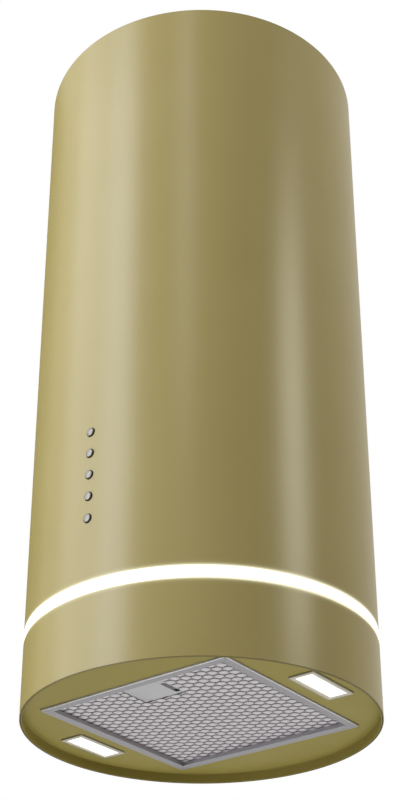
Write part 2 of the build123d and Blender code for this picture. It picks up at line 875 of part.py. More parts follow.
def make_lamp_heatsink(side):
    top = panel_recess + lamp_sleeve
    x, y = lamp_width / 2, lamp_length / 2
    inset = lamp_wall + clip_gap
    sink = box((-x, x), (-y, y), (top, top + heatsink_base))
    sink += rounded_block(2 * (x - inset), 2 * (y - inset), lamp_inner_corner,
                          lamp_board_level() + board_thickness, top)
    step = (2 * y - heatsink_fin) / (heatsink_fin_count - 1)
    for k in range(heatsink_fin_count):
        start = -y + step * k
        sink += box((-x, x), (start, start + heatsink_fin), (top, top + heatsink_height))
    return Pos(side * lamp_place(), 0, 0) * sink


# Push buttons


def inwards(depth):
    """The place at a depth behind the shell's front line, looking in from the front."""
    return -shell_radius + depth


def front_rod(radius, start, end, height):
    """A round rod square to the front, between two depths behind the shell's front line."""
    middle = (inwards(start) + inwards(end)) / 2
    return Pos(0, middle, height) * Rot(90, 0, 0) * Cylinder(radius, end - start)


def flange_depth():
    return shell_wall + switch_front_gap + switch_wall + clip_gap


def make_button(height):
    cap = front_rod(button_radius, -button_proud, flange_depth() + 0.2, height)
    rim = cap.edges().filter_by(GeomType.CIRCLE).sort_by(Axis.Y)[0]
    cap = fillet(rim, 1.2)
    cap += front_rod(button_flange_radius, flange_depth(), flange_depth() + button_flange, height)
    tip = block_back - button_travel - 1
    return cap + front_rod(button_stem_radius, flange_depth(), tip, height)


def make_button_spring(height):
    start = flange_depth() + button_flange
    radius = button_stem_radius + spring_wire_radius + 0.4
    spring = coil(radius, spring_wire_radius, spring_coils, block_front - start)
    return Pos(0, inwards(start), height) * Rot(-90, 0, 0) * spring


def switch_screw_places():
    """The studs on the shell that hold the switch housing's two ears."""
    reach = switch_half_height + m3_radius * 3
    return [button_mid_height - reach, button_mid_height + reach]


def make_switch_housing():
    front = shell_wall + switch_front_gap
    z = (button_mid_height - switch_half_height, button_mid_height + switch_half_height)
    half = switch_half_width
    case = box((-half, half), (inwards(front), inwards(block_front - clip_gap)), z)
    case -= box((-half + switch_wall, half - switch_wall),
                (inwards(front + switch_wall), inwards(block_front)),
                (z[0] + switch_wall, z[1] - switch_wall))
    ear = m3_radius * 6
    case += box((-6, 6), (inwards(front), inwards(front + switch_wall)), (z[0] - ear, z[1] + ear))
    case -= box((-half + switch_wall, half - switch_wall),
                (inwards(front + switch_wall), inwards(block_front)),
                (z[0] + switch_wall, z[1] - switch_wall))
    for height in button_heights():
        case -= front_rod(button_radius + button_hole_gap, 0, front + switch_wall + 0.5, height)
    for height in switch_screw_places():
        case -= front_rod(m3_radius + hole_gap, 0, front + switch_wall + 1, height)
    return case


def make_switch_block():
    z = (button_mid_height - switch_half_height, button_mid_height + switch_half_height)
    half = switch_half_width - switch_wall
    block = box((-half, half), (inwards(block_front), inwards(block_back)), z)
    for height in button_heights():
        block -= front_rod(button_stem_radius + clip_gap, block_front - 1, block_back + 1, height)
    return block


def switch_fixings():
    front = shell_wall + switch_front_gap
    fixings = []
    for height in switch_screw_places():
        stud = front_rod(m3_radius, shell_wall + 0.1, front + switch_wall + 5, height)
        hexagon = Plane(origin=(0, inwards(front + switch_wall), height), z_dir=(0, 1, 0))
        stud += extrude(hexagon * RegularPolygon(m3_radius * 2, 6), m3_radius * 1.6)
        fixings.append(stud)
    return fixings


# Grease filter and its latch


def slide_bottom():
    return mesh_bottom + latch_sheet + seat_gap


def latch_window():
    """The room cut out of the filter's layers for its latch."""
    half = latch_half_width + clip_gap
    return box((-half, half), (latch_front - 1, latch_back + clip_gap),
               (mesh_bottom - 1, pad_top + 1))


def make_filter_frame():
    side = filter_side
    inner = side - 2 * filter_border
    frame = square_frame(side, inner, filter_face, filter_face + filter_sheet)
    frame += square_frame(side, side - 2 * filter_sheet, filter_face, filter_top)
    frame += square_frame(inner + 2 * filter_sheet, inner, filter_face, filter_face + filter_recess)
    frame += square_frame(side, inner, filter_top - filter_sheet, filter_top)
    back = filter_opening / 2
    for x in (-hook_spacing / 2, hook_spacing / 2):
        frame += box((x - hook_width / 2, x + hook_width / 2), (side / 2 - 0.5, back + hook_reach),
                     (panel_top + seat_gap, panel_top + seat_gap + hook_sheet))
    half = latch_bolt_half_width + seat_gap
    frame -= box((-half, half), (-side / 2 - 1, -side / 2 + 1),
                 (slide_bottom() - seat_gap, slide_bottom() + latch_slide_sheet + seat_gap))
    return frame


def make_filter_mesh():
    """The expanded sheet that shows: staggered rows of pointed slots."""
    sheet = Rectangle(mesh_side, mesh_side)
    reach = filter_side / 2 - filter_border - mesh_margin
    slot = Polygon((-mesh_hole_length / 2, 0), (0, -mesh_hole_width / 2),
                   (mesh_hole_length / 2, 0), (0, mesh_hole_width / 2), align=None)
    columns = int(reach / mesh_long_pitch * 2)
    rows = int(reach / mesh_short_pitch * 2)
    holes = []
    for column in range(-columns, columns + 1):
        for row in range(-rows, rows + 1):
            x, y = column * mesh_long_pitch / 2, row * mesh_short_pitch / 2
            inside = abs(x) + mesh_hole_length / 2 < reach and abs(y) + mesh_hole_width / 2 < reach
            if (column + row) % 2 == 0 and inside and not near_latch(x, y):
                holes.append(Pos(x, y) * slot)
    sheet -= Sketch() + holes
    mesh = Pos(0, 0, mesh_bottom) * extrude(sheet, mesh_sheet)
    return mesh - latch_window()


def near_latch(x, y):
    side = latch_half_width + mesh_hole_length / 2 + 1
    return abs(x) < side and y < latch_back + mesh_hole_width / 2 + 1


def make_filter_core():
    low = mesh_bottom + mesh_sheet + clip_gap
    half = mesh_side / 2
    return box((-half, half), (-half, half), (low, pad_top)) - latch_window()


def latch_slot():
    """The finger slot in the latch cover: its sides across and along the slide's travel."""
    right = latch_half_width - latch_slot_margin
    back = latch_back - latch_slot_margin * 3
    return (right - latch_slot_width, right), (back - latch_slot_length, back)


def make_latch_cover():
    half = latch_half_width
    cover = box((-half, half), (latch_front, latch_back), (mesh_bottom, pad_top))
    cover -= box((-half + latch_sheet, half - latch_sheet), (latch_front - 1,
                 latch_back - latch_sheet), (mesh_bottom + latch_sheet, pad_top + 1))
    x, y = latch_slot()
    return cover - box(x, y, (mesh_bottom - 1, mesh_bottom + latch_sheet + 1))


def slide_back():
    return latch_slot()[1][1] - latch_travel - seat_gap


def make_latch_slide():
    half = latch_half_width - latch_sheet - seat_gap
    low = slide_bottom()
    high = low + latch_slide_sheet
    front = latch_front + 2 * seat_gap
    slide = box((-half, half), (front, slide_back()), (low, high))
    nose = -filter_opening / 2 + seat_gap
    slide += box((-latch_bolt_half_width, latch_bolt_half_width), (nose, front), (low, high))
    slide += box((-4, 4), (slide_back() - 1.5, slide_back()), (low, pad_top - seat_gap))
    x, y = latch_slot()
    pad = box((x[0] + seat_gap, x[1] - seat_gap), (y[0] + seat_gap, slide_back()),
              (mesh_bottom + latch_sheet / 2, high))
    return slide + pad


def make_latch_spring():
    start, end = slide_back(), latch_back - latch_sheet
    spring = coil(latch_spring_radius, spring_wire_radius, latch_spring_coils, end - start)
    level = slide_bottom() + latch_spring_radius + spring_wire_radius
    return Pos(0, start, level) * Rot(-90, 0, 0) * spring


# Screws of the chassis


def make_chassis_screws():
    """The M4 screws of the scroll, deck, collar, motor bracket, light ring and upper shell."""
    deck_screw = Pos(rim_fixing_radius, 0, deck_top) * screw(m4_radius, 8)
    screws = around(deck_screw, rim_fixing_count, 22.5)
    screws += around(carrier_screw(), rim_fixing_count, 22.5)
    screws += [place * screw(m4_radius, 8) for place in collar_screw_places()]
    screws += [place * screw(m4_radius, deck_sheet + scroll_wall + 4)
               for place in outlet_screw_places()]
    for place in lug_places():
        spot = blower_plane(housing_lug_depth).location * place
        screws.append(spot * screw(m4_radius, 2 * housing_lug_depth + 3))
    for place in bracket_foot_places():
        spot = blower_plane(scroll_half_width + bracket_sheet).location * place
        screws.append(spot * screw(m4_radius, bracket_sheet + scroll_wall + 2))
    return screws + [place * screw(m4_radius, 7) for place in shell_screw_places()]


def write(name, shape):
    """Lowers a piece, or a list of like pieces, into the hanging frame and saves it."""
    pieces = shape if isinstance(shape, list) else [shape]
    lowered = [Pos(0, 0, -hood_height) * piece for piece in pieces]
    solids = [solid for piece in lowered for solid in piece.solids()]
    whole = solids[0] if len(solids) == 1 else Compound(children=solids)
    export_step(whole, f"parts/{name}.step")


def main():
    os.makedirs("parts", exist_ok=True)
    write("upper_shell", make_upper_shell())
    write("lower_shell", make_lower_shell())
    write("light_ring_diffuser", make_light_ring_diffuser())
    write("light_ring_carrier", make_light_ring_carrier())
    write("light_strip", make_light_strip())

    write("bottom_panel", make_bottom_panel())
    write("studs_and_nuts", make_studs_and_nuts())

    write("plenum_drum", make_plenum_drum())
    write("blower_deck", make_blower_deck())
    write("hanger_struts", make_hanger_struts())
    write("strut_bolts", make_strut_bolts())
    write("ceiling_plate", make_ceiling_plate())
    write("chassis_screws", make_chassis_screws())

    write("outlet_collar", make_outlet_collar())
    write("damper_pin", make_damper_pin())
    write("damper_flap_left", make_damper_flap(-1))
    write("damper_flap_right", make_damper_flap(1))

    write("scroll_housing_left", make_scroll_housing(-1))
    write("scroll_housing_right", make_scroll_housing(1))
    write("impeller", make_impeller())
    write("motor_shaft", make_motor_shaft())
    write("motor_rotor", make_motor_rotor())
    write("motor_stator", make_motor_stator())
    write("motor_end_bell_inner", make_motor_end_bell(False))
    write("motor_end_bell_outer", make_motor_end_bell(True))
    write("motor_bearings", make_motor_bearings())
    write("motor_bracket", make_motor_bracket())

    write("control_box", make_control_box())
    write("control_box_lid", make_control_box_lid())
    write("control_board", make_control_board())
    write("terminal_block", make_terminal_block())
    write("cable_gland", make_cable_gland())
    write("run_capacitor", make_run_capacitor())
    write("led_driver", make_led_driver())

    for side, word in ((-1, "left"), (1, "right")):
        write(f"lamp_bezel_{word}", make_lamp_bezel(side))
        write(f"lamp_lens_{word}", make_lamp_lens(side))
        write(f"lamp_board_{word}", make_lamp_board(side))
        write(f"lamp_heatsink_{word}", make_lamp_heatsink(side))

    for k, height in enumerate(button_heights()):
        write(f"button_{k + 1}", make_button(height))
        write(f"button_spring_{k + 1}", make_button_spring(height))
    write("switch_housing", make_switch_housing())
    write("switch_block", make_switch_block())

    write("filter_frame", make_filter_frame())
    write("filter_mesh", make_filter_mesh())
    write("filter_core", make_filter_core())
    write("latch_cover", make_latch_cover())
    write("latch_slide", make_latch_slide())
    write("latch_spring", make_latch_spring())


main()
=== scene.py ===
from math import cos, hypot, pi, radians, sin

import bmesh
import bpy
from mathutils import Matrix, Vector


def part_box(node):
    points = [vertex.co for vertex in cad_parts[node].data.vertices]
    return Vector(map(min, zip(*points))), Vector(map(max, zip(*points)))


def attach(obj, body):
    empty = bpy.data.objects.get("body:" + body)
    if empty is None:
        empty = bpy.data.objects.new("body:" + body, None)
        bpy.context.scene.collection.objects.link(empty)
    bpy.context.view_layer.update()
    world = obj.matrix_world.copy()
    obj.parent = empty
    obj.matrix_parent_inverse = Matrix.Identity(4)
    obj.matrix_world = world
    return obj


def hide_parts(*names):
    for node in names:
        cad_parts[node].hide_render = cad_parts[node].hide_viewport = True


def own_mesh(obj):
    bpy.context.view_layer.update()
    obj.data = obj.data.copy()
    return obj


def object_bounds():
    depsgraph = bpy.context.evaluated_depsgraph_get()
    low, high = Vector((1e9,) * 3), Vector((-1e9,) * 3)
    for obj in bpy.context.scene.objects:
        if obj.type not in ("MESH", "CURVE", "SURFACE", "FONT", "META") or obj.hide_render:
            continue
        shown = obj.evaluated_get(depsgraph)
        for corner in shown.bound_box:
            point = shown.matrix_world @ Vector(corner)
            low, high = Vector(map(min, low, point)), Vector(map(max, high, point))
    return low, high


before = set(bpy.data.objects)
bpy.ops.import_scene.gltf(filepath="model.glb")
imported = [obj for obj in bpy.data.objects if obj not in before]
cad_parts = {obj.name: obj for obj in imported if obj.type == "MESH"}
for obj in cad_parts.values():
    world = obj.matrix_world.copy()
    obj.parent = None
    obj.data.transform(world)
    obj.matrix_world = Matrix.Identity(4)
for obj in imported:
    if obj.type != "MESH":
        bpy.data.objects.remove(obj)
cad_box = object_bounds()


# ---- Sheet-steel chassis ----
# The ceiling plate, four angle struts, the deck and the rolled drum carry everything else.
# They are cut and folded from hot-dip galvanised sheet, bolted through the struts' feet and
# screwed round the drum's turned-out rims.


def linear(code):
    """An sRGB hex colour as the linear colour that a shader takes."""
    parts = [int(code[i:i + 2], 16) / 255 for i in (1, 3, 5)]
    return (*[c / 12.92 if c <= 0.04045 else ((c + 0.055) / 1.055) ** 2.4 for c in parts], 1.0)


def fill(tree, node, inputs):
    """Sets a node's inputs, linking those that are given as another node's output."""
    for key, value in inputs.items():
        if isinstance(value, bpy.types.NodeSocket):
            tree.links.new(value, node.inputs[key])
        else:
            node.inputs[key].default_value = value
    return node


def add(tree, kind, inputs=None, **settings):
    """Adds one node with its settings and links."""
    node = tree.nodes.new(kind)
    for name, value in settings.items():
        setattr(node, name, value)
    return fill(tree, node, inputs or {})


def new_finish(name):
    """A material, its tree, its surface shader and where a spot lies on the hood, in metres."""
    material = bpy.data.materials.new(name)
    material.use_nodes = True
    tree = material.node_tree
    where = add(tree, "ShaderNodeTexCoord").outputs["Object"]
    return material, tree, tree.nodes["Principled BSDF"], where


def per_mm(size):
    """A pattern's scale from the real size of one of its features, in millimetres."""
    return 1000 / size


def give(material, *nodes):
    """Gives CAD nodes their finish."""
    for name in nodes:
        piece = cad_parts[name]
        if not piece.material_slots:
            piece.data.materials.append(material)
        for place in piece.material_slots:
            place.material = material


# Hot-dip galvanised sheet: zinc crystals about 9 mm across, each a little brighter or duller.
galvanised, tree, surface, where = new_finish("galvanised_sheet_steel")
crystal = add(tree, "ShaderNodeTexVoronoi", {"Vector": where, "Scale": per_mm(9)})
shade = add(tree, "ShaderNodeSeparateColor", {0: crystal.outputs["Color"]}).outputs[0]
tone = add(tree, "ShaderNodeMapRange", {0: shade, 3: 0.0, 4: 1.0}).outputs[0]
zinc = add(tree, "ShaderNodeMix", {0: tone, 6: linear("#9BA0A3"), 7: linear("#B9BDBE")},
           data_type="RGBA").outputs[2]
dull = add(tree, "ShaderNodeMapRange", {0: shade, 3: 0.34, 4: 0.52}).outputs[0]
grain = add(tree, "ShaderNodeTexNoise", {"Vector": where, "Scale": per_mm(0.8), "Detail": 3.0})
dent = add(tree, "ShaderNodeBump", {"Strength": 0.08, "Distance": 0.0002,
                                    "Height": grain.outputs["Fac"]}).outputs[0]
fill(tree, surface, {"Base Color": zinc, "Roughness": dull, "Normal": dent, "Metallic": 1.0})
give(galvanised, "ceiling_plate", "hanger_struts", "blower_deck", "plenum_drum",
     "switch_housing", "motor_bracket")

# Bright zinc plating on steel screws: a soft sheen, faintly yellow, with fine machining marks.
zinc_plated, tree, surface, where = new_finish("bright_zinc_plated_steel")
cloud = add(tree, "ShaderNodeTexNoise", {"Vector": where, "Scale": per_mm(1.5), "Detail": 4.0})
tint = add(tree, "ShaderNodeMix", {0: cloud.outputs["Fac"], 6: linear("#B4B3A6"),
                                   7: linear("#D2D1C8")}, data_type="RGBA").outputs[2]
dull = add(tree, "ShaderNodeMapRange", {0: cloud.outputs["Fac"], 3: 0.22, 4: 0.38}).outputs[0]
fill(tree, surface, {"Base Color": tint, "Roughness": dull, "Metallic": 1.0})
give(zinc_plated, "strut_bolts", "studs_and_nuts", "chassis_screws")


# ---- Blower housing ----
# Two moulded half scrolls, screwed together through lugs, guide the air up into the outlet.
# They are grey polypropylene with a lightly spark-eroded face.

polypropylene, tree, surface, where = new_finish("grey_moulded_polypropylene")
flow = add(tree, "ShaderNodeTexNoise", {"Vector": where, "Scale": per_mm(35), "Detail": 2.0})
tint = add(tree, "ShaderNodeMix", {0: flow.outputs["Fac"], 6: linear("#63676B"),
                                   7: linear("#73777B")}, data_type="RGBA").outputs[2]
spark = add(tree, "ShaderNodeTexNoise", {"Vector": where, "Scale": per_mm(0.6), "Detail": 2.0})
dent = add(tree, "ShaderNodeBump", {"Strength": 0.25, "Distance": 0.0001,
                                    "Height": spark.outputs["Fac"]}).outputs[0]
fill(tree, surface, {"Base Color": tint, "Roughness": 0.48, "Normal": dent})
give(polypropylene, "scroll_housing_left", "scroll_housing_right")


# ---- Impeller ----
# A double-inlet wheel with forward-curved blades, moulded in one piece and pressed on the
# motor's shaft. Black glass-filled nylon: matt, with short pale fibres at the surface.

glass_nylon, tree, surface, where = new_finish("black_glass_filled_nylon")
fibre = add(tree, "ShaderNodeTexNoise", {"Vector": where, "Scale": per_mm(1.1), "Detail": 5.0,
                                         "Distortion": 2.0})
tint = add(tree, "ShaderNodeMix", {0: fibre.outputs["Fac"], 6: linear("#161719"),
                                   7: linear("#2E3033")}, data_type="RGBA").outputs[2]
dent = add(tree, "ShaderNodeBump", {"Strength": 0.2, "Distance": 0.0001,
                                    "Height": fibre.outputs["Fac"]}).outputs[0]
fill(tree, surface, {"Base Color": tint, "Roughness": 0.55, "Normal": dent})
give(glass_nylon, "impeller")


# ---- Motor ----
# An external capacitor motor on a three-armed bracket. The stator is a stack of electrical
# steel sheets, closed by two pressed end bells with a ball bearing in each.

# Electrical steel stack: thin oxide-blue sheets, drawn 1 mm apart so that they show.
laminated, tree, surface, where = new_finish("laminated_electrical_steel")
sheets = add(tree, "ShaderNodeTexWave", {"Vector": where, "Scale": per_mm(1) / pi},
             wave_type="BANDS", bands_direction="X")
tint = add(tree, "ShaderNodeMix", {0: sheets.outputs["Fac"], 6: linear("#34373D"),
                                   7: linear("#6C7077")}, data_type="RGBA").outputs[2]
dent = add(tree, "ShaderNodeBump", {"Strength": 0.4, "Distance": 0.0002,
                                    "Height": sheets.outputs["Fac"]}).outputs[0]
fill(tree, surface, {"Base Color": tint, "Roughness": 0.42, "Metallic": 0.9, "Normal": dent})
give(laminated, "motor_stator", "motor_rotor")


def streaked_metal(name, colour, size, stretch, polished, worn, detail=3.0):
    """A bare metal finish with streaks of this size, stretched along the axes as given."""
    material, tree, surface, where = new_finish(name)
    drawn = add(tree, "ShaderNodeMapping", {0: where, 3: stretch}).outputs[0]
    streak = add(tree, "ShaderNodeTexNoise", {"Vector": drawn, "Scale": per_mm(size),
                                              "Detail": detail})
    dull = add(tree, "ShaderNodeMapRange", {0: streak.outputs["Fac"], 3: polished,
                                            4: worn}).outputs[0]
    fill(tree, surface, {"Base Color": linear(colour), "Roughness": dull, "Metallic": 1.0})
    return material


# Ground steel: fine rings left by the stone, bright between them.
ground_steel = streaked_metal("ground_shaft_steel", "#C3C5C8", 2.5, (8.0, 1.0, 1.0), 0.14, 0.34,
                              detail=4.0)
give(ground_steel, "motor_shaft", "motor_bearings", "damper_pin")

# Deep-drawn zinc-coated end bells: smooth, with faint drawing streaks round the rim.
drawn_steel = streaked_metal("deep_drawn_zinc_coated_steel", "#A7ABAD", 2, (0.2, 1.0, 1.0),
                             0.26, 0.44)
give(drawn_steel, "motor_end_bell_inner", "motor_end_bell_outer")


# ---- Outlet collar and flaps ----
# A moulded 150 mm collar, screwed over the deck's outlet, holds two half-round flaps on a
# steel pin. Black ABS with a fine, even satin texture.

black_abs, tree, surface, where = new_finish("black_moulded_abs")
spark = add(tree, "ShaderNodeTexNoise", {"Vector": where, "Scale": per_mm(0.5), "Detail": 2.0})
tint = add(tree, "ShaderNodeMix", {0: spark.outputs["Fac"], 6: linear("#1B1C1D"),
                                   7: linear("#28292B")}, data_type="RGBA").outputs[2]
dent = add(tree, "ShaderNodeBump", {"Strength": 0.3, "Distance": 0.00008,
                                    "Height": spark.outputs["Fac"]}).outputs[0]
fill(tree, surface, {"Base Color": tint, "Roughness": 0.4, "Normal": dent})
give(black_abs, "outlet_collar", "damper_flap_left", "damper_flap_right", "cable_gland",
     "switch_block", "latch_slide")


# ---- Electrical boxes on the deck ----
# The control box with its board and terminals, the motor's run capacitor, and the driver of
# the lamps and the light ring. The cases are white flame-retardant ABS, clipped shut.

white_abs, tree, surface, where = new_finish("white_moulded_abs")
spark = add(tree, "ShaderNodeTexNoise", {"Vector": where, "Scale": per_mm(0.7), "Detail": 2.0})
tint = add(tree, "ShaderNodeMix", {0: spark.outputs["Fac"], 6: linear("#D9D9D3"),
                                   7: linear("#E8E8E3")}, data_type="RGBA").outputs[2]
dent = add(tree, "ShaderNodeBump", {"Strength": 0.2, "Distance": 0.0001,
                                    "Height": spark.outputs["Fac"]}).outputs[0]
fill(tree, surface, {"Base Color": tint, "Roughness": 0.42, "Normal": dent})
give(white_abs, "control_box", "control_box_lid", "terminal_block", "led_driver",
     "light_ring_carrier")

# Circuit board: glass-epoxy under green solder mask, with copper tracks showing through.
solder_mask, tree, surface, where = new_finish("green_solder_mask_board")
tracks = add(tree, "ShaderNodeTexBrick", {"Vector": where, "Scale": per_mm(6),
             "Color1": linear("#1F6B3A"), "Color2": linear("#19592F"),
             "Mortar": linear("#3D8A4C"), "Mortar Size": 0.06}, offset=0.35)
dent = add(tree, "ShaderNodeBump", {"Strength": 0.3, "Distance": 0.0001,
                                    "Height": tracks.outputs["Fac"]}).outputs[0]
fill(tree, surface, {"Base Color": tracks.outputs["Color"], "Roughness": 0.25, "Normal": dent})
give(solder_mask, "control_board")

# Impact-extruded aluminium can: dull silver with fine upright streaks.
capacitor_can = streaked_metal("extruded_aluminium_can", "#BDBFC0", 1.2, (1.0, 1.0, 0.05),
                               0.3, 0.5)
give(capacitor_can, "run_capacitor")


# ---- Light ring ----
# An opal acrylic band, clipped into a white moulded channel between the two shells, with a
# tape of light chips behind it. The band stands flush with the shells and glows evenly.


def rounded(corners, steps=3):
    """A closed outline with round corners, from (across, up, radius) for each corner."""
    outline = []
    for k, (x, y, radius) in enumerate(corners):
        here = Vector((x, y))
        before = Vector(corners[k - 1][:2]) - here
        after = Vector(corners[(k + 1) % len(corners)][:2]) - here
        reach = min(radius, before.length * 0.45, after.length * 0.45)
        start, end = here + before.normalized() * reach, here + after.normalized() * reach
        edge = min(reach * 0.6, (min(before.length, after.length) - reach) * 0.4)
        outline.append(start + before.normalized() * edge)
        for step in range(steps + 1):
            t = step / steps
            outline.append(start * (1 - t) ** 2 + here * 2 * t * (1 - t) + end * t ** 2)
        outline.append(end + after.normalized() * edge)
    return [(p.x, p.y) for p in outline]


lower_rim = cad_box[0].z


def made(name, points, faces, material, body, slot, *replaced):
    mesh = bpy.data.meshes.new(name)
    mesh.from_pydata([(x / 1000, y / 1000, z / 1000 + lower_rim) for x, y, z in points], [],
                     faces)
    work = bmesh.new()
    work.from_mesh(mesh)
    bmesh.ops.remove_doubles(work, verts=work.verts, dist=1e-6)
    bmesh.ops.recalc_face_normals(work, faces=work.faces)
    work.to_mesh(mesh)
    work.free()
    mesh.shade_smooth()
    mesh.set_sharp_from_angle(angle=radians(38))
    mesh.materials.append(material)
    piece = bpy.data.objects.new(name, mesh)
    bpy.context.scene.collection.objects.link(piece)
    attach(piece, body)
    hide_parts(*replaced)
    return piece


def turned(outline, columns=256):
    """Points and faces of a closed outline of (radius, height) turned round the upright axis."""
    count = len(outline)
    points = [(r * sin(2 * pi * c / columns), -r * cos(2 * pi * c / columns), z)
              for c in range(columns) for r, z in outline]
    faces = [(c * count + k, c * count + (k + 1) % count,
              (c + 1) % columns * count + (k + 1) % count, (c + 1) % columns * count + k)
             for c in range(columns) for k in range(count)]
    return points, faces


shell_radius = 195.0
band_low, band_high = 84.2, 98.6
band_inner, flange_inner = 193.5, 190.5
flange_low, flange_high = 79.8, 103.0
band_white, band_cream = 4.2, 7.2
chip_face = 180.85


def out_from_axis(tree, where):
    """How far a place lies out from the hood's upright axis, in metres."""
    flat = add(tree, "ShaderNodeVectorMath", {0: where, 1: (1.0, 1.0, 0.0)},
               operation="MULTIPLY").outputs[0]
    return add(tree, "ShaderNodeVectorMath", {0: flat}, operation="LENGTH").outputs[1]


def away_from_band(tree, where):
    """How far a place lies above or below the band's middle, in metres."""
    height = add(tree, "ShaderNodeSeparateXYZ", {0: where}).outputs["Z"]
    middle = lower_rim + (band_low + band_high) / 2000
    off = add(tree, "ShaderNodeMath", {0: height, 1: middle}, operation="SUBTRACT").outputs[0]
    return add(tree, "ShaderNodeMath", {0: off}, operation="ABSOLUTE").outputs[0]


# Lit opal acrylic: white in the middle, creamier where less light reaches the band's edges.
opal, tree, surface, where = new_finish("lit_opal_acrylic")
away = away_from_band(tree, where)
ease = add(tree, "ShaderNodeMapRange", {0: away, 1: band_white / 1000,
                                        2: band_cream / 1000}).outputs[0]
glow = add(tree, "ShaderNodeMix", {0: ease, 6: linear("#FFFFFF"), 7: linear("#B8AC6E")},
           data_type="RGBA").outputs[2]
fill(tree, surface, {"Base Color": linear("#F2F0E6"), "Roughness": 0.3,
                     "Emission Color": glow, "Emission Strength": 0.75})
band = rounded([(shell_radius, band_low, 0.5), (shell_radius, band_high, 0.5),
                (band_inner, band_high, 0.2), (band_inner, flange_high, 0.2),
                (flange_inner, flange_high, 0.2), (flange_inner, flange_low, 0.2),
                (band_inner, flange_low, 0.2), (band_inner, band_low, 0.2)])
made("opal_light_band", *turned(band), opal, "hood", "opal_diffuser", "light_ring_diffuser")

# Light tape: white tape with square chips of yellow phosphor standing off it.
tape, tree, surface, where = new_finish("phosphor_chip_light_tape")
chip = add(tree, "ShaderNodeMath", {0: out_from_axis(tree, where), 1: chip_face / 1000},
           operation="GREATER_THAN").outputs[0]
tint = add(tree, "ShaderNodeMix", {0: chip, 6: linear("#E9E9E4"), 7: linear("#E8D24A")},
           data_type="RGBA").outputs[2]
fill(tree, surface, {"Base Color": tint, "Roughness": 0.5, "Emission Color": tint,
                     "Emission Strength": 0.3})
give(tape, "light_strip")


# ---- Underside panel ----
# One round sheet with a turned-down rim, cut out for the filter and the two lamps, and held
# up by welded studs. Sheet steel in the shells' champagne colour.

panel_face, panel_sheet = 11.0, 1.2
panel_top = panel_face + panel_sheet
rim_start, rim_inner, rim_outer, rim_low = 186.0, 192.1, 193.3, 0.3
opening_half = 123.48
lamp_middle = 153.9
lamp_hole = (15.1, 37.6)
hole_corner = 2.0

# Satin champagne coat: fine metal flake in a flat finish that shows hardly any reflection,
# painted darker on the turned-down rim as painted shade.
satin, tree, surface, where = new_finish("champagne_satin_coated_sheet_steel")
drift = add(tree, "ShaderNodeTexNoise", {"Vector": where, "Scale": per_mm(70), "Detail": 2.0})
flake = add(tree, "ShaderNodeTexNoise", {"Vector": where, "Scale": per_mm(0.9), "Detail": 2.0})
tone = add(tree, "ShaderNodeMath", {0: drift.outputs["Fac"], 1: flake.outputs["Fac"]},
           operation="MULTIPLY").outputs[0]
tint = add(tree, "ShaderNodeMix", {0: tone, 6: linear("#908443"), 7: linear("#9C9051")},
           data_type="RGBA").outputs[2]
# Painted shade: the turned-down rim is painted darker.
upright = add(tree, "ShaderNodeMapRange", {
    0: out_from_axis(tree, where), 1: (rim_inner - 0.9) / 1000,
    2: (rim_inner - 0.1) / 1000}).outputs[0]
tint = add(tree, "ShaderNodeMix", {0: upright, 6: tint, 7: linear("#83773A")},
           data_type="RGBA").outputs[2]
dent = add(tree, "ShaderNodeBump", {"Strength": 0.1, "Distance": 0.0001,
                                    "Height": flake.outputs["Fac"]}).outputs[0]
fill(tree, surface, {"Base Color": tint, "Roughness": 0.5, "Normal": dent,
                     "Specular IOR Level": 0.1})


def cut_corner(across, up, corner, steps=5):
    """The points round a rectangle of these half sizes with round corners."""
    points = []
    for k, (x, y) in enumerate(((1, -1), (1, 1), (-1, 1), (-1, -1))):
        for step in range(steps + 1):
            turn = radians(-90 + 90 * (k + step / steps))
            points.append((x * (across - corner) + corner * cos(turn),
                           y * (up - corner) + corner * sin(turn)))
    return points


def cut_sheet(outlines, low, high):
    """A flat sheet from its outer outline and its holes, as points and faces."""
    curve = bpy.data.curves.new("blank", "CURVE")
    curve.dimensions, curve.fill_mode = "2D", "BOTH"
    curve.extrude = (high - low) / 2
    for outline in outlines:
        spline = curve.splines.new("POLY")
        spline.points.add(len(outline) - 1)
        for point, (x, y) in zip(spline.points, outline):
            point.co = (x, y, 0, 1)
        spline.use_cyclic_u = True
    blank = bpy.data.objects.new("blank", curve)
    sheet = bpy.data.meshes.new_from_object(blank)
    middle = (low + high) / 2
    points = [(*v.co[:2], v.co.z + middle) for v in sheet.vertices]
    faces = [tuple(f.vertices) for f in sheet.polygons]
    bpy.data.objects.remove(blank)
    bpy.data.curves.remove(curve)
    bpy.data.meshes.remove(sheet)
    return points, faces


def joined(*parts):
    """Several pieces' points and faces as one."""
    points, faces = [], []
    for more_points, more_faces in parts:
        start = len(points)
        points += more_points
        faces += [tuple(v + start for v in face) for face in more_faces]
    return points, faces


circle = [(rim_start * cos(2 * pi * k / 256), rim_start * sin(2 * pi * k / 256))
          for k in range(256)]
cutouts = [cut_corner(opening_half, opening_half, hole_corner)]
for side in (-1, 1):
    cutouts.append([(x + side * lamp_middle, y)
                    for x, y in cut_corner(*lamp_hole, hole_corner)])
rim = rounded([(rim_outer, rim_low, 0.1), (rim_outer, panel_top, 0.8),
               (rim_start, panel_top, 0), (rim_start, panel_face, 0),
               (rim_inner, panel_face, 0.5), (rim_inner, rim_low, 0.1)])
panel = joined(cut_sheet([circle, *cutouts], panel_face, panel_top), turned(rim))
made("lacquered_underside_panel", *panel, satin, "hood", "champagne_shell", "bottom_panel")


# ---- Lamps ----
# Two slim lamps sit in the panel, one each side of the filter. Each has a moulded bezel
# with a lacquered face, a frosted lens, a board of ten light chips and a finned heat sink.


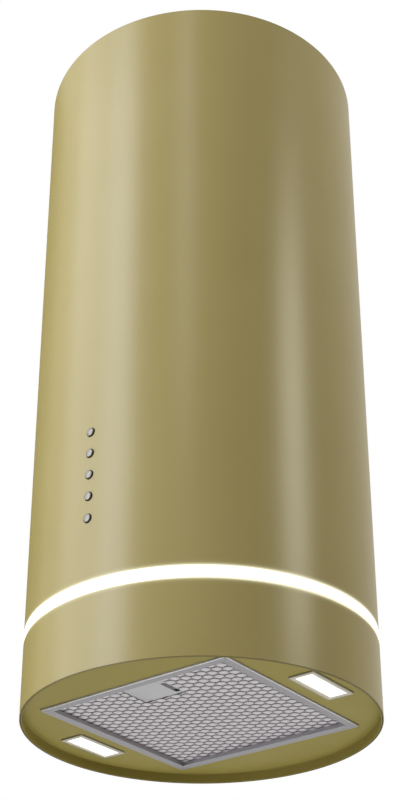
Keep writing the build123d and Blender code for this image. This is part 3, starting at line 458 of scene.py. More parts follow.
def lofted(rings, closed=True):
    """Points and faces through rings of equal length. An open row of rings is capped."""
    count, points, faces = len(rings[0]), [p for ring in rings for p in ring], []
    for r in range(len(rings) if closed else len(rings) - 1):
        here, after = r * count, (r + 1) % len(rings) * count
        faces += [(here + k, here + (k + 1) % count, after + (k + 1) % count, after + k)
                  for k in range(count)]
    if not closed:
        faces += [tuple(range(count)), tuple(len(points) - 1 - k for k in range(count))]
    return points, faces


lamp_line_half = 22.5
lens_white, lens_soft = 8.8, 10.4
bezel_inner, bezel_outer = 10.6, 15.4
gap_shadow_inner, gap_shadow_outer = 15.3, 15.8


def lamp_ring(side, across, up, corner, z):
    """One ring round a lamp, at a height above the lower rim."""
    return [(x + side * lamp_middle, y, z) for x, y in cut_corner(across, up, corner)]


def out_from_lamp(tree, where):
    """How far a place lies out from a lamp's middle line, in metres."""
    axes = add(tree, "ShaderNodeSeparateXYZ", {0: where})
    beside = add(tree, "ShaderNodeMath", {0: axes.outputs["X"]}, operation="ABSOLUTE").outputs[0]
    beside = add(tree, "ShaderNodeMath", {0: beside, 1: lamp_middle / 1000},
                 operation="SUBTRACT").outputs[0]
    beside = add(tree, "ShaderNodeMath", {0: beside}, operation="ABSOLUTE").outputs[0]
    along = add(tree, "ShaderNodeMath", {0: axes.outputs["Y"]}, operation="ABSOLUTE").outputs[0]
    along = add(tree, "ShaderNodeMath", {0: along, 1: lamp_line_half / 1000},
                operation="SUBTRACT").outputs[0]
    return add(tree, "ShaderNodeMath", {0: beside, 1: along}, operation="MAXIMUM").outputs[0]


# Lacquered moulding: the panel's colour, painted paler towards the lens as painted glow from it,
# with a thin dark line painted at its edge as painted shadow of the gap round the bezel.
bezel_lacquer, tree, surface, where = new_finish("champagne_lacquered_moulding")
flake = add(tree, "ShaderNodeTexNoise", {"Vector": where, "Scale": per_mm(0.8), "Detail": 2.0})
outward = out_from_lamp(tree, where)
# Painted glow: the bezel is painted paler towards the lit lens.
painted_lens_glow = add(tree, "ShaderNodeMapRange", {0: outward, 1: bezel_outer / 1000,
                                         2: bezel_inner / 1000}).outputs[0]
outer = add(tree, "ShaderNodeMix", {0: flake.outputs["Fac"], 6: linear("#78704F"),
                                    7: linear("#857D5F")}, data_type="RGBA").outputs[2]
tint = add(tree, "ShaderNodeMix", {0: painted_lens_glow, 6: outer, 7: linear("#C2BA9F")},
           data_type="RGBA").outputs[2]
# Painted shadow: a thin dark line at the bezel's outer edge stands for the shadow in the gap.
painted_gap_shadow = add(tree, "ShaderNodeMapRange", {0: outward, 1: gap_shadow_inner / 1000,
                                          2: gap_shadow_outer / 1000}).outputs[0]
tint = add(tree, "ShaderNodeMix", {0: painted_gap_shadow, 6: tint, 7: linear("#4A4228")},
           data_type="RGBA").outputs[2]
fill(tree, surface, {"Base Color": tint, "Roughness": 0.4, "Metallic": 0.2,
                     "Coat Weight": 0.5, "Coat Roughness": 0.2})

# Lit frosted acrylic: an even white face that softens at the bezel.
frosted, tree, surface, where = new_finish("lit_frosted_acrylic")
frost = add(tree, "ShaderNodeTexNoise", {"Vector": where, "Scale": per_mm(0.4), "Detail": 2.0})
dent = add(tree, "ShaderNodeBump", {"Strength": 0.2, "Distance": 0.0001,
                                    "Height": frost.outputs["Fac"]}).outputs[0]
outward = out_from_lamp(tree, where)
glow = add(tree, "ShaderNodeMapRange", {0: outward, 1: lens_white / 1000,
                                        2: lens_soft / 1000, 3: 0.85, 4: 0.3}).outputs[0]
fill(tree, surface, {"Base Color": linear("#F4F4F2"), "Roughness": 0.5, "Normal": dent,
                     "Emission Color": linear("#FFFFFF"), "Emission Strength": glow})

# Rings round a lamp: half across, half along, corner and height.
bezel_section = [(16.5, 39.0, 4.5, 11.0), (16.5, 39.0, 4.5, 10.2), (16.1, 38.6, 4.1, 9.7),
                 (15.5, 38.0, 3.5, 9.6), (11.4, 33.9, 1.9, 9.6), (10.8, 33.3, 1.3, 9.7),
                 (10.5, 33.0, 1.0, 10.1), (10.5, 33.0, 1.0, 11.0), (13.1, 35.6, 1.85, 11.0),
                 (13.1, 35.6, 1.85, 24.0), (14.6, 37.1, 2.6, 24.0), (14.6, 37.1, 2.6, 11.0)]
lens_section = [(10.3, 32.8, 0.9, 12.1), (10.3, 32.8, 0.9, 10.2), (10.1, 32.6, 0.7, 9.95),
                (9.7, 32.2, 0.6, 9.9)]
lens_back = [(12.9, 35.4, 1.7, 11.2), (12.9, 35.4, 1.7, 12.1)]
for side, hand in ((-1, "left"), (1, "right")):
    rings = [lamp_ring(side, *size) for size in bezel_section]
    made(f"lamp_frame_{hand}", *lofted(rings), bezel_lacquer, "hood", "lamp_bezel_paint",
         f"lamp_bezel_{hand}")
    front = lofted([lamp_ring(side, *size) for size in lens_section], closed=False)
    back = lofted([lamp_ring(side, *size) for size in lens_back], closed=False)
    made(f"frosted_lens_{hand}", *joined(front, back), frosted, "hood", "frosted_lens",
         f"lamp_lens_{hand}")

# Extruded aluminium: plain mill finish with fine lines along the fins.
mill_aluminium = streaked_metal("mill_finish_extruded_aluminium", "#C9CBCC", 0.8,
                                (0.05, 1.0, 1.0), 0.28, 0.5)
give(mill_aluminium, "lamp_heatsink_left", "lamp_heatsink_right")

# White solder mask on the lamps' boards, which throws the light forward.
white_mask, tree, surface, where = new_finish("white_solder_mask_board")
speck = add(tree, "ShaderNodeTexNoise", {"Vector": where, "Scale": per_mm(1.5), "Detail": 1.0})
tint = add(tree, "ShaderNodeMix", {0: speck.outputs["Fac"], 6: linear("#E6E7E4"),
                                   7: linear("#F1F1EE")}, data_type="RGBA").outputs[2]
fill(tree, surface, {"Base Color": tint, "Roughness": 0.3})
give(white_mask, "lamp_board_left", "lamp_board_right")


# ---- Grease filter frame ----
# A pressed aluminium frame, mitred at its corners, that clamps the filter's layers. Its rim
# stands just below the panel, and two hooks at the back hang in the panel's opening.

filter_half = 122.68
filter_face, filter_top = 8.8, 20.8
frame_sheet, flange_under = 0.8, 20.0
border, recess_end = 10.0, 14.3
hook_at, hook_middle, hook_half_width, hook_half_length = 70, 126.83, 12, 4.65
hook_low, hook_high = 12.5, 13.7
mitre_dark, mitre_clear = 0.1, 0.35

# Satin anodised aluminium: pale, faintly pink grey, with a fine dark line where the sides
# meet at the mitres. The walls folded up inside take an even grey of their own as painted
# shade, and the outer wall round the frame is painted bright as painted light.
anodised, tree, surface, where = new_finish("satin_anodised_aluminium")
axes = add(tree, "ShaderNodeSeparateXYZ", {0: where})
across = add(tree, "ShaderNodeMath", {0: axes.outputs["X"]}, operation="ABSOLUTE").outputs[0]
along = add(tree, "ShaderNodeMath", {0: axes.outputs["Y"]}, operation="ABSOLUTE").outputs[0]
apart = add(tree, "ShaderNodeMath", {0: across, 1: along}, operation="SUBTRACT").outputs[0]
gap = add(tree, "ShaderNodeMath", {0: apart}, operation="ABSOLUTE").outputs[0]
plain = add(tree, "ShaderNodeMapRange", {0: gap, 1: mitre_dark / 1000,
                                         2: mitre_clear / 1000}).outputs[0]
brush = add(tree, "ShaderNodeTexNoise", {"Vector": where, "Scale": per_mm(0.5), "Detail": 3.0})
tint = add(tree, "ShaderNodeMix", {0: brush.outputs["Fac"], 6: linear("#7F7D7F"),
                                   7: linear("#8A888A")}, data_type="RGBA").outputs[2]
tint = add(tree, "ShaderNodeMix", {0: plain, 6: linear("#5B585A"), 7: tint},
           data_type="RGBA").outputs[2]
# Painted shade: the walls folded up inside are given an even grey of their own.
inner_wall_shade = add(tree, "ShaderNodeMapRange", {
    0: axes.outputs["Z"], 1: lower_rim + (filter_face + frame_sheet) / 1000,
    2: lower_rim + (filter_face + 3 * frame_sheet) / 1000}).outputs[0]
tint = add(tree, "ShaderNodeMix", {0: inner_wall_shade, 6: tint, 7: linear("#8A8689")},
           data_type="RGBA").outputs[2]
# Painted light: the outer wall round the frame is painted bright.
reach = add(tree, "ShaderNodeMath", {0: across, 1: along}, operation="MAXIMUM").outputs[0]
side = add(tree, "ShaderNodeMapRange", {0: reach, 1: (filter_half - 0.9) / 1000,
                                        2: (filter_half - 0.3) / 1000}).outputs[0]
tint = add(tree, "ShaderNodeMix", {0: side, 6: tint, 7: linear("#C4C2C4")},
           data_type="RGBA").outputs[2]
dull = add(tree, "ShaderNodeMapRange", {0: brush.outputs["Fac"], 3: 0.38, 4: 0.5}).outputs[0]
dent = add(tree, "ShaderNodeBump", {"Strength": 0.5, "Distance": 0.0003,
                                    "Height": plain}).outputs[0]
fill(tree, surface, {"Base Color": tint, "Roughness": dull, "Normal": dent, "Metallic": 0.6})

# Across the frame's channel: how far in from the filter's side, how high, and the bend there.
folded, inner_face = border - frame_sheet, filter_face + frame_sheet
channel = rounded([(0, filter_face, 0.8), (border, filter_face, 0.9), (border, recess_end, 0.2),
                   (folded, recess_end, 0.2), (folded, inner_face, 0.2),
                   (frame_sheet, inner_face, 0.2), (frame_sheet, flange_under, 0.2),
                   (border, flange_under, 0.2), (border, filter_top, 0.2),
                   (0, filter_top, 0.5)])
rings = [[(x, y, z) for x, y in cut_corner(filter_half - d, filter_half - d, max(2 - d, 0.25))]
         for d, z in channel]
hooks = []
for x in (-hook_at, hook_at):
    tongue = [[(x + a, hook_middle + b, z)
               for a, b in cut_corner(hook_half_width, hook_half_length, 0.8)]
              for z in (hook_low, hook_high)]
    hooks.append(lofted(tongue, closed=False))
made("pressed_filter_frame", *joined(lofted(rings), *hooks), anodised, "filter",
     "filter_aluminium", "filter_frame")


# ---- Filter mesh ----
# The outer layer is sheet aluminium, slit and pressed so that round pads swell from it in a
# triangular pattern, each torn open along its rear side into a dark crescent.

pad_spacing = 11.4
pad_radius, pad_swell, pad_lift = 4.9, 0.7, 0.7
pads_half_width = 116.5
mesh_level = 14.35
opening_turn = radians(118)
latch_gap_half, latch_gap_rear = 21.0, -68.0
latch_window_half, latch_window_rear = 26.1, -62.6

# Bright rolled aluminium: light satin grey, with the pads that swell down painted paler than
# the sheet between them as painted light.
rolled_aluminium, tree, surface, where = new_finish("rolled_aluminium_foil_stock")
cloud = add(tree, "ShaderNodeTexNoise", {"Vector": where, "Scale": per_mm(14), "Detail": 3.0})
height = add(tree, "ShaderNodeSeparateXYZ", {0: where}).outputs["Z"]
sheet_height = lower_rim + mesh_level / 1000
# Painted light: the pads, which stand below the sheet, are painted paler.
painted_pad_light = add(tree, "ShaderNodeMapRange", {0: height, 1: sheet_height - 0.0005,
                                          2: sheet_height, 3: 1.0, 4: 0.0}).outputs[0]
tint = add(tree, "ShaderNodeMix", {0: cloud.outputs["Fac"], 6: linear("#A7A2A5"),
                                   7: linear("#B1ACAF")}, data_type="RGBA").outputs[2]
tint = add(tree, "ShaderNodeMix", {0: painted_pad_light, 6: tint, 7: linear("#B9B4B6")},
           data_type="RGBA").outputs[2]
dull = add(tree, "ShaderNodeMapRange", {0: cloud.outputs["Fac"], 3: 0.4, 4: 0.55}).outputs[0]
fill(tree, surface, {"Base Color": tint, "Roughness": dull, "Metallic": 0.5})

# One pad and the six-sided patch of sheet round it. Where the pad is torn and lifted, the wall
# between its edge and the sheet is missing.
pad_columns = 16
pad_shares = (0.35, 0.65, 0.88, 1.0)
patch = []
for k in range(pad_columns):
    turn = opening_turn + 2 * pi * k / pad_columns
    lift = max(0.0, cos(turn - opening_turn)) ** 0.5
    edge = pad_spacing / 2 / cos((turn + pi / 6) % (pi / 3) - pi / 6)
    patch.append((turn, lift, edge))
points, faces = [(0.0, 0.0, -pad_swell)], []
for share in pad_shares:
    swell = pad_swell * (1 - share ** 2)
    for turn, lift, _ in patch:
        points.append((pad_radius * share * cos(turn), pad_radius * share * sin(turn),
                       pad_lift * lift * share ** 3 - swell))
for turn, lift, _ in patch:
    reach = pad_radius + min(lift, 0.3)
    points.append((reach * cos(turn), reach * sin(turn), 0.0))
for turn, _, edge in patch:
    points.append((edge * cos(turn), edge * sin(turn), 0.0))
for k in range(pad_columns):
    after = (k + 1) % pad_columns
    whole = patch[k][1] < 0.01 and patch[after][1] < 0.01
    faces.append((0, 1 + k, 1 + after))
    for ring in range(len(pad_shares) + 1):
        here, next_ring = 1 + ring * pad_columns, 1 + (ring + 1) * pad_columns
        if ring != len(pad_shares) - 1 or whole:
            faces.append((here + k, next_ring + k, next_ring + after, here + after))
pad_mesh = bpy.data.meshes.new("pad")
pad_mesh.from_pydata([(x / 1000, y / 1000, z / 1000) for x, y, z in points], [], faces)
pad = bpy.data.objects.new("pad", pad_mesh)
bpy.context.scene.collection.objects.link(pad)

lattice = bpy.data.node_groups.new("pads_in_rows", "GeometryNodeTree")
lattice.interface.new_socket("Geometry", in_out="OUTPUT", socket_type="NodeSocketGeometry")
inputs = {}
for name, kind in (("Pad", "NodeSocketObject"), ("Spacing", "NodeSocketFloat"),
                   ("Half width", "NodeSocketFloat"), ("Level", "NodeSocketFloat"),
                   ("Latch half width", "NodeSocketFloat"), ("Latch rear", "NodeSocketFloat"),
                   ("Finish", "NodeSocketMaterial")):
    inputs[name] = lattice.interface.new_socket(name, in_out="INPUT", socket_type=kind)
given = lattice.nodes.new("NodeGroupInput").outputs
columns, rows = 25, 43
column_step = add(lattice, "ShaderNodeMath", {0: given["Spacing"], 1: cos(pi / 6)},
                  operation="MULTIPLY").outputs[0]
width = add(lattice, "ShaderNodeMath", {0: column_step, 1: float(columns - 1)},
            operation="MULTIPLY").outputs[0]
row_step = add(lattice, "ShaderNodeMath", {0: given["Spacing"], 1: 0.5},
               operation="MULTIPLY").outputs[0]
depth = add(lattice, "ShaderNodeMath", {0: row_step, 1: float(rows - 1)},
            operation="MULTIPLY").outputs[0]
grid = add(lattice, "GeometryNodeMeshGrid", {"Size X": width, "Size Y": depth,
                                             "Vertices X": columns, "Vertices Y": rows})
spot = add(lattice, "GeometryNodeInputPosition").outputs[0]
place = add(lattice, "ShaderNodeSeparateXYZ", {0: spot})
number = add(lattice, "GeometryNodeInputIndex").outputs[0]
share = add(lattice, "ShaderNodeMath", {0: number, 1: float(rows)},
            operation="DIVIDE").outputs[0]
column = add(lattice, "ShaderNodeMath", {0: share}, operation="FLOOR").outputs[0]
row = add(lattice, "ShaderNodeMath", {0: number, 1: float(rows)}, operation="MODULO").outputs[0]
both = add(lattice, "ShaderNodeMath", {0: column, 1: row}, operation="ADD").outputs[0]
left_over = add(lattice, "ShaderNodeMath", {0: both, 1: 2.0}, operation="MODULO").outputs[0]
odd = add(lattice, "ShaderNodeMath", {0: left_over, 1: 0.5}, operation="GREATER_THAN").outputs[0]
far = []
for axis in ("X", "Y"):
    size = add(lattice, "ShaderNodeMath", {0: place.outputs[axis]}, operation="ABSOLUTE")
    far.append(add(lattice, "ShaderNodeMath", {0: size.outputs[0], 1: given["Half width"]},
                   operation="GREATER_THAN").outputs[0])
aside = add(lattice, "ShaderNodeMath", {0: place.outputs["X"]}, operation="ABSOLUTE").outputs[0]
beside = add(lattice, "ShaderNodeMath", {0: aside, 1: given["Latch half width"]},
             operation="LESS_THAN").outputs[0]
ahead = add(lattice, "ShaderNodeMath", {0: place.outputs["Y"], 1: given["Latch rear"]},
            operation="LESS_THAN").outputs[0]
latch = add(lattice, "ShaderNodeMath", {0: beside, 1: ahead}, operation="MULTIPLY").outputs[0]
unwanted = odd
for other in (*far, latch):
    unwanted = add(lattice, "ShaderNodeMath", {0: unwanted, 1: other},
                   operation="MAXIMUM").outputs[0]
kept = add(lattice, "GeometryNodeDeleteGeometry", {"Geometry": grid.outputs[0],
                                                   "Selection": unwanted})
shape = add(lattice, "GeometryNodeObjectInfo", {"Object": given["Pad"]}).outputs["Geometry"]
pads = add(lattice, "GeometryNodeInstanceOnPoints", {"Points": kept.outputs[0],
                                                     "Instance": shape})
real = add(lattice, "GeometryNodeRealizeInstances", {0: pads.outputs[0]})
level = add(lattice, "ShaderNodeCombineXYZ", {2: given["Level"]}).outputs[0]
put = add(lattice, "GeometryNodeTransform", {"Geometry": real.outputs[0],
                                             "Translation": level})
welded = add(lattice, "GeometryNodeMergeByDistance", {"Geometry": put.outputs[0],
                                                      "Distance": 0.00002})
dressed = add(lattice, "GeometryNodeSetMaterial", {"Geometry": welded.outputs[0],
                                                   "Material": given["Finish"]})
add(lattice, "NodeGroupOutput", {0: dressed.outputs[0]})

holder = bpy.data.objects.new("holder", bpy.data.meshes.new("holder"))
bpy.context.scene.collection.objects.link(holder)
rows_of_pads = holder.modifiers.new("rows", "NODES")
rows_of_pads.node_group = lattice
for name, value in (("Pad", pad), ("Spacing", pad_spacing / 1000),
                    ("Half width", pads_half_width / 1000), ("Level", sheet_height),
                    ("Latch half width", latch_gap_half / 1000),
                    ("Latch rear", latch_gap_rear / 1000), ("Finish", rolled_aluminium)):
    rows_of_pads[inputs[name].identifier] = value
pads_mesh = bpy.data.meshes.new_from_object(
    holder.evaluated_get(bpy.context.evaluated_depsgraph_get()))
bpy.data.objects.remove(holder)
bpy.data.objects.remove(pad)

# The sheet is cut away for the latch, along the latch cover's three sides.
cut = bmesh.new()
cut.from_mesh(pads_mesh)
side, rear = latch_window_half / 1000, latch_window_rear / 1000
for spot, along in (((-side, 0, 0), (1, 0, 0)), ((side, 0, 0), (1, 0, 0)),
                    ((0, rear, 0), (0, 1, 0))):
    bmesh.ops.bisect_plane(cut, geom=[*cut.verts, *cut.edges, *cut.faces], plane_co=spot,
                           plane_no=along)
middles = [(face, face.calc_center_median()) for face in cut.faces]
bmesh.ops.delete(cut, context="FACES", geom=[
    face for face, middle in middles if abs(middle.x) < side and middle.y < rear])
cut.to_mesh(pads_mesh)
cut.free()
pads_mesh.shade_smooth()
mesh_layer = bpy.data.objects.new("pressed_pad_mesh", pads_mesh)
bpy.context.scene.collection.objects.link(mesh_layer)
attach(mesh_layer, "filter")
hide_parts("filter_mesh")

# Layers of fine aluminium mesh behind it: grey, broken up by crossing wires, and painted dark
# as painted shade for the shade they lie in.
packed_mesh, tree, surface, where = new_finish("packed_fine_aluminium_mesh")
wires = add(tree, "ShaderNodeTexVoronoi", {"Vector": where, "Scale": per_mm(2.2)},
            feature="DISTANCE_TO_EDGE")
wire = add(tree, "ShaderNodeMapRange", {0: wires.outputs["Distance"], 1: 0.02, 2: 0.2, 3: 1.0,
                                        4: 0.0}).outputs[0]
tint = add(tree, "ShaderNodeMix", {0: wire, 6: linear("#3E3E40"), 7: linear("#7A7A7C")},
           data_type="RGBA").outputs[2]
dent = add(tree, "ShaderNodeBump", {"Strength": 0.6, "Distance": 0.0004,
                                    "Height": wire}).outputs[0]
fill(tree, surface, {"Base Color": tint, "Roughness": 0.5, "Metallic": 0.6, "Normal": dent})
give(packed_mesh, "filter_core")


# ---- Latch ----
# A pressed aluminium cover set into the filter's front edge. A finger in its slot pulls the
# sprung slide back, and the filter swings down.

latch_half, latch_front, latch_rear = 26.0, -121.48, -62.68
latch_middle = (latch_front + latch_rear) / 2
latch_reach = (latch_rear - latch_front) / 2
cover_face, cover_inside, cover_top = 14.5, 15.3, 20.0
slot_half_width, slot_half_length = 3.0, 14.0
slot_x, slot_y = 21.5, -81.18


def cover_ring(across, up, corner, z, x=0.0, y=latch_middle):
    """One ring of the latch cover, round its middle or round its slot."""
    return [(a + x, b + y, z) for a, b in cut_corner(across, up, corner)]


# Smooth rolled aluminium: the palest part of the filter, a satin sheen without texture.
smooth_aluminium, tree, surface, where = new_finish("smooth_satin_aluminium")
brush = add(tree, "ShaderNodeTexNoise", {"Vector": add(
    tree, "ShaderNodeMapping", {0: where, 3: (0.06, 1.0, 1.0)}).outputs[0],
    "Scale": per_mm(0.6), "Detail": 3.0})
tint = add(tree, "ShaderNodeMix", {0: brush.outputs["Fac"], 6: linear("#9E9D9E"),
                                   7: linear("#A7A6A7")}, data_type="RGBA").outputs[2]
fill(tree, surface, {"Base Color": tint, "Roughness": 0.42, "Metallic": 0.6})

# From the outer edge round the face, down into the slot and back along the inside: how far
# the sheet stands off the cover's or the slot's sides, its corner and its height.
outer_rings = [(0, 2.0, cover_top), (0, 2.0, cover_inside), (-0.2, 1.8, 14.75),
               (-0.8, 1.2, cover_face)]
slot_rings = [(0.6, 2.0, cover_face), (0.15, 1.6, 14.65), (0, 1.5, cover_inside)]
inner_rings = [(-0.8, 1.2, cover_inside), (-0.8, 1.2, cover_top)]
cover = [cover_ring(latch_half + off, latch_reach + off, corner, z)
         for off, corner, z in outer_rings]
cover += [cover_ring(slot_half_width + off, slot_half_length + off, corner, z, slot_x, slot_y)
          for off, corner, z in slot_rings]
cover += [cover_ring(latch_half + off, latch_reach + off, corner, z)
          for off, corner, z in inner_rings]
made("pressed_latch_cover", *lofted(cover), smooth_aluminium, "filter", "filter_aluminium",
     "latch_cover")


# ---- Springs ----
# One compression spring returns the latch's slide and one returns each push button, wound
# from drawn steel wire.

# Spring wire: drawn, oiled steel with a dark sheen.
spring_wire, tree, surface, where = new_finish("oiled_spring_wire")
oil = add(tree, "ShaderNodeTexNoise", {"Vector": where, "Scale": per_mm(1.4), "Detail": 2.0})
tint = add(tree, "ShaderNodeMix", {0: oil.outputs["Fac"], 6: linear("#77787A"),
                                   7: linear("#9A9B9D")}, data_type="RGBA").outputs[2]
fill(tree, surface, {"Base Color": tint, "Roughness": 0.28, "Metallic": 1.0})

spring_wire_radius = 0.25


def wound(radius, turns, length, columns=24, sides=12):
    """Points and faces of a round wire wound along +Y about the origin, closed at both ends."""
    points = []
    for c in range(turns * columns + 1):
        turn = 2 * pi * c / columns
        level = spring_wire_radius + (length - 2 * spring_wire_radius) * c / (turns * columns)
        for s in range(sides):
            around = 2 * pi * s / sides
            out = radius + spring_wire_radius * cos(around)
            points.append((out * cos(turn), level + spring_wire_radius * sin(around),
                           out * sin(turn)))
    faces = [(a + s, a + (s + 1) % sides, a + sides + (s + 1) % sides, a + sides + s)
             for a in range(0, turns * columns * sides, sides) for s in range(sides)]
    last = turns * columns * sides
    return points, faces + [tuple(range(sides)), tuple(range(last, last + sides))]


# Each spring's node, its body, the joint that presses it and its turns of wire.
springs = [("latch_spring", "filter", "latch_pull", 6)]
springs += [(f"button_spring_{k}", "hood", f"button_{k}_press", 4) for k in range(1, 6)]
for node, body, joint, turns in springs:
    low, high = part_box(node)
    length = (high.y - low.y) * 1000
    points, faces = wound((high.x - low.x) * 500 - spring_wire_radius, turns, length)
    middle_x = (low.x + high.x) * 500
    middle_z = (low.z + high.z) * 500 - lower_rim * 1000
    points = [(x + middle_x, y + low.y * 1000, z + middle_z) for x, y, z in points]
    piece = made("wound_" + node, points, faces, spring_wire, body, "spring_steel", node)
    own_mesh(piece)


# ---- Push buttons ----
# Five round caps in a row, moulded in ABS and chrome plated. Each has a domed face, a rim
# that stops it behind the shell, and a stem that works its switch against a spring.

lowest_button, button_pitch = 171.0, 26.0
button_heights = [lowest_button + button_pitch * k for k in range(5)]

# Satin chrome over moulding: a soft dark mirror with a trace of orange peel, its side painted
# near black as painted shade and painted dark reflection.
chrome, tree, surface, where = new_finish("satin_chrome_plated_abs")
peel = add(tree, "ShaderNodeTexNoise", {"Vector": where, "Scale": per_mm(1.5), "Detail": 1.0})
dull = add(tree, "ShaderNodeMapRange", {0: peel.outputs["Fac"], 3: 0.3, 4: 0.4}).outputs[0]
# Painted shade and reflection: the cap's side, behind its face, is painted near black.
out = add(tree, "ShaderNodeSeparateXYZ", {0: where}).outputs["Y"]
dark_side_paint = add(tree, "ShaderNodeMapRange", {0: out, 1: -(shell_radius + 1.45) / 1000,
                                         2: -(shell_radius + 1.15) / 1000}).outputs[0]
tint = add(tree, "ShaderNodeMix", {0: dark_side_paint, 6: linear("#64615B"), 7: linear("#1D1B16")},
           data_type="RGBA").outputs[2]
fill(tree, surface, {"Base Color": tint, "Roughness": dull, "Metallic": 0.9})

# Half a section of the cap and its stem: the radius, and how far it stands off the shell.
cap = [(0.0, 2.2), (1.6, 2.17), (2.9, 2.06), (3.8, 1.86), (4.4, 1.56), (4.8, 1.14), (4.96, 0.66),
       (5.0, 0.1), (5.0, -3.2), (6.3, -3.2), (6.3, -4.2), (2.0, -4.2), (2.0, -12.0), (0.0, -12.0)]
for number, height in enumerate(button_heights, 1):
    columns, points, faces = 32, [], []
    for c in range(columns):
        turn = 2 * pi * c / columns
        points += [(r * cos(turn), -shell_radius - out, height + r * sin(turn)) for r, out in cap]
        start, after = c * len(cap), (c + 1) % columns * len(cap)
        faces += [(start + k, start + k + 1, after + k + 1, after + k)
                  for k in range(len(cap) - 1)]
    made(f"chrome_button_{number}", points, faces, chrome, f"button_{number}",
         "chrome_buttons", f"button_{number}")


# ---- Shells ----
# Two tubes rolled from sheet steel and closed by a welded seam at the back, lacquered
# champagne. The upper one has five round holes for the buttons; the light ring parts them.

shell_wall = 1.2
lower_shell_top, upper_shell_start, hood_height = 84.0, 98.8, 850.0
glow_reach = 1.15
hole_radius = 5.4
# A hole's edge from the outer face through the wall: how far past its radius, and how deep.
hole_edge = [(2.0, 0), (0.5, 0), (0.25, 0), (0.05, 0.08), (0, 0.3), (0, 0.9),
             (0.25, shell_wall), (0.5, shell_wall), (2.0, shell_wall)]

# Champagne lacquer: fine metal flake in a warm coat, under a clear layer that gives lamps and
# windows a pale, soft-edged reflection. The slow waviness is that of a sprayed coat. The lacquer
# beside the band is made to glow a few millimetres out from it, painted light for the band's
# spill. Inside the tube and round its lower edge the colour is painted darker as painted shade.
champagne, tree, surface, where = new_finish("champagne_lacquered_sheet_steel")
drift = add(tree, "ShaderNodeTexNoise", {"Vector": where, "Scale": per_mm(90), "Detail": 2.0})
flake = add(tree, "ShaderNodeTexNoise", {"Vector": where, "Scale": per_mm(0.9), "Detail": 2.0})
tone = add(tree, "ShaderNodeMath", {0: drift.outputs["Fac"], 1: flake.outputs["Fac"]},
           operation="MULTIPLY").outputs[0]
tint = add(tree, "ShaderNodeMix", {0: tone, 6: linear("#8F814A"), 7: linear("#9B8D59")},
           data_type="RGBA").outputs[2]
# Painted shade: the inside of the tube is painted darker.
inner_wall_shade = add(tree, "ShaderNodeMapRange", {
    0: out_from_axis(tree, where), 1: (shell_radius - 0.3) / 1000,
    2: (shell_radius - 0.7) / 1000}).outputs[0]
tint = add(tree, "ShaderNodeMix", {0: inner_wall_shade, 6: tint, 7: linear("#675C28")},
           data_type="RGBA").outputs[2]
height = add(tree, "ShaderNodeSeparateXYZ", {0: where}).outputs["Z"]
# Painted shade: the shell's lower edge is painted darker.
edge = add(tree, "ShaderNodeMapRange", {0: height, 1: lower_rim + shell_wall / 1000,
                                        2: lower_rim + 0.0004}).outputs[0]
tint = add(tree, "ShaderNodeMix", {0: edge, 6: tint, 7: linear("#5A5020")},
           data_type="RGBA").outputs[2]
dull = add(tree, "ShaderNodeMapRange", {0: flake.outputs["Fac"], 3: 0.36, 4: 0.44}).outputs[0]
wave = add(tree, "ShaderNodeTexNoise", {"Vector": where, "Scale": per_mm(1.8), "Detail": 1.0})
dent = add(tree, "ShaderNodeBump", {"Strength": 0.06, "Distance": 0.0001,
                                    "Height": wave.outputs["Fac"]}).outputs[0]
# Painted light: the lacquer next to the band glows, fading with distance from it.
beyond = add(tree, "ShaderNodeMath", {0: away_from_band(tree, where),
                                      1: (band_high - band_low) / 2000},
             operation="SUBTRACT").outputs[0]
fading = add(tree, "ShaderNodeMath", {0: beyond, 1: -1000 / glow_reach},
             operation="MULTIPLY").outputs[0]
fading = add(tree, "ShaderNodeMath", {0: fading}, operation="EXPONENT").outputs[0]
painted_spill_glow = add(tree, "ShaderNodeMath", {0: fading, 1: 0.7}, operation="MULTIPLY").outputs[0]
fill(tree, surface, {"Base Color": tint, "Roughness": dull, "Normal": dent, "Metallic": 0.0,
                     "Specular IOR Level": 0.0, "Coat Weight": 0.65, "Coat Roughness": 0.3,
                     "Emission Color": linear("#FFFFE4"), "Emission Strength": painted_spill_glow})


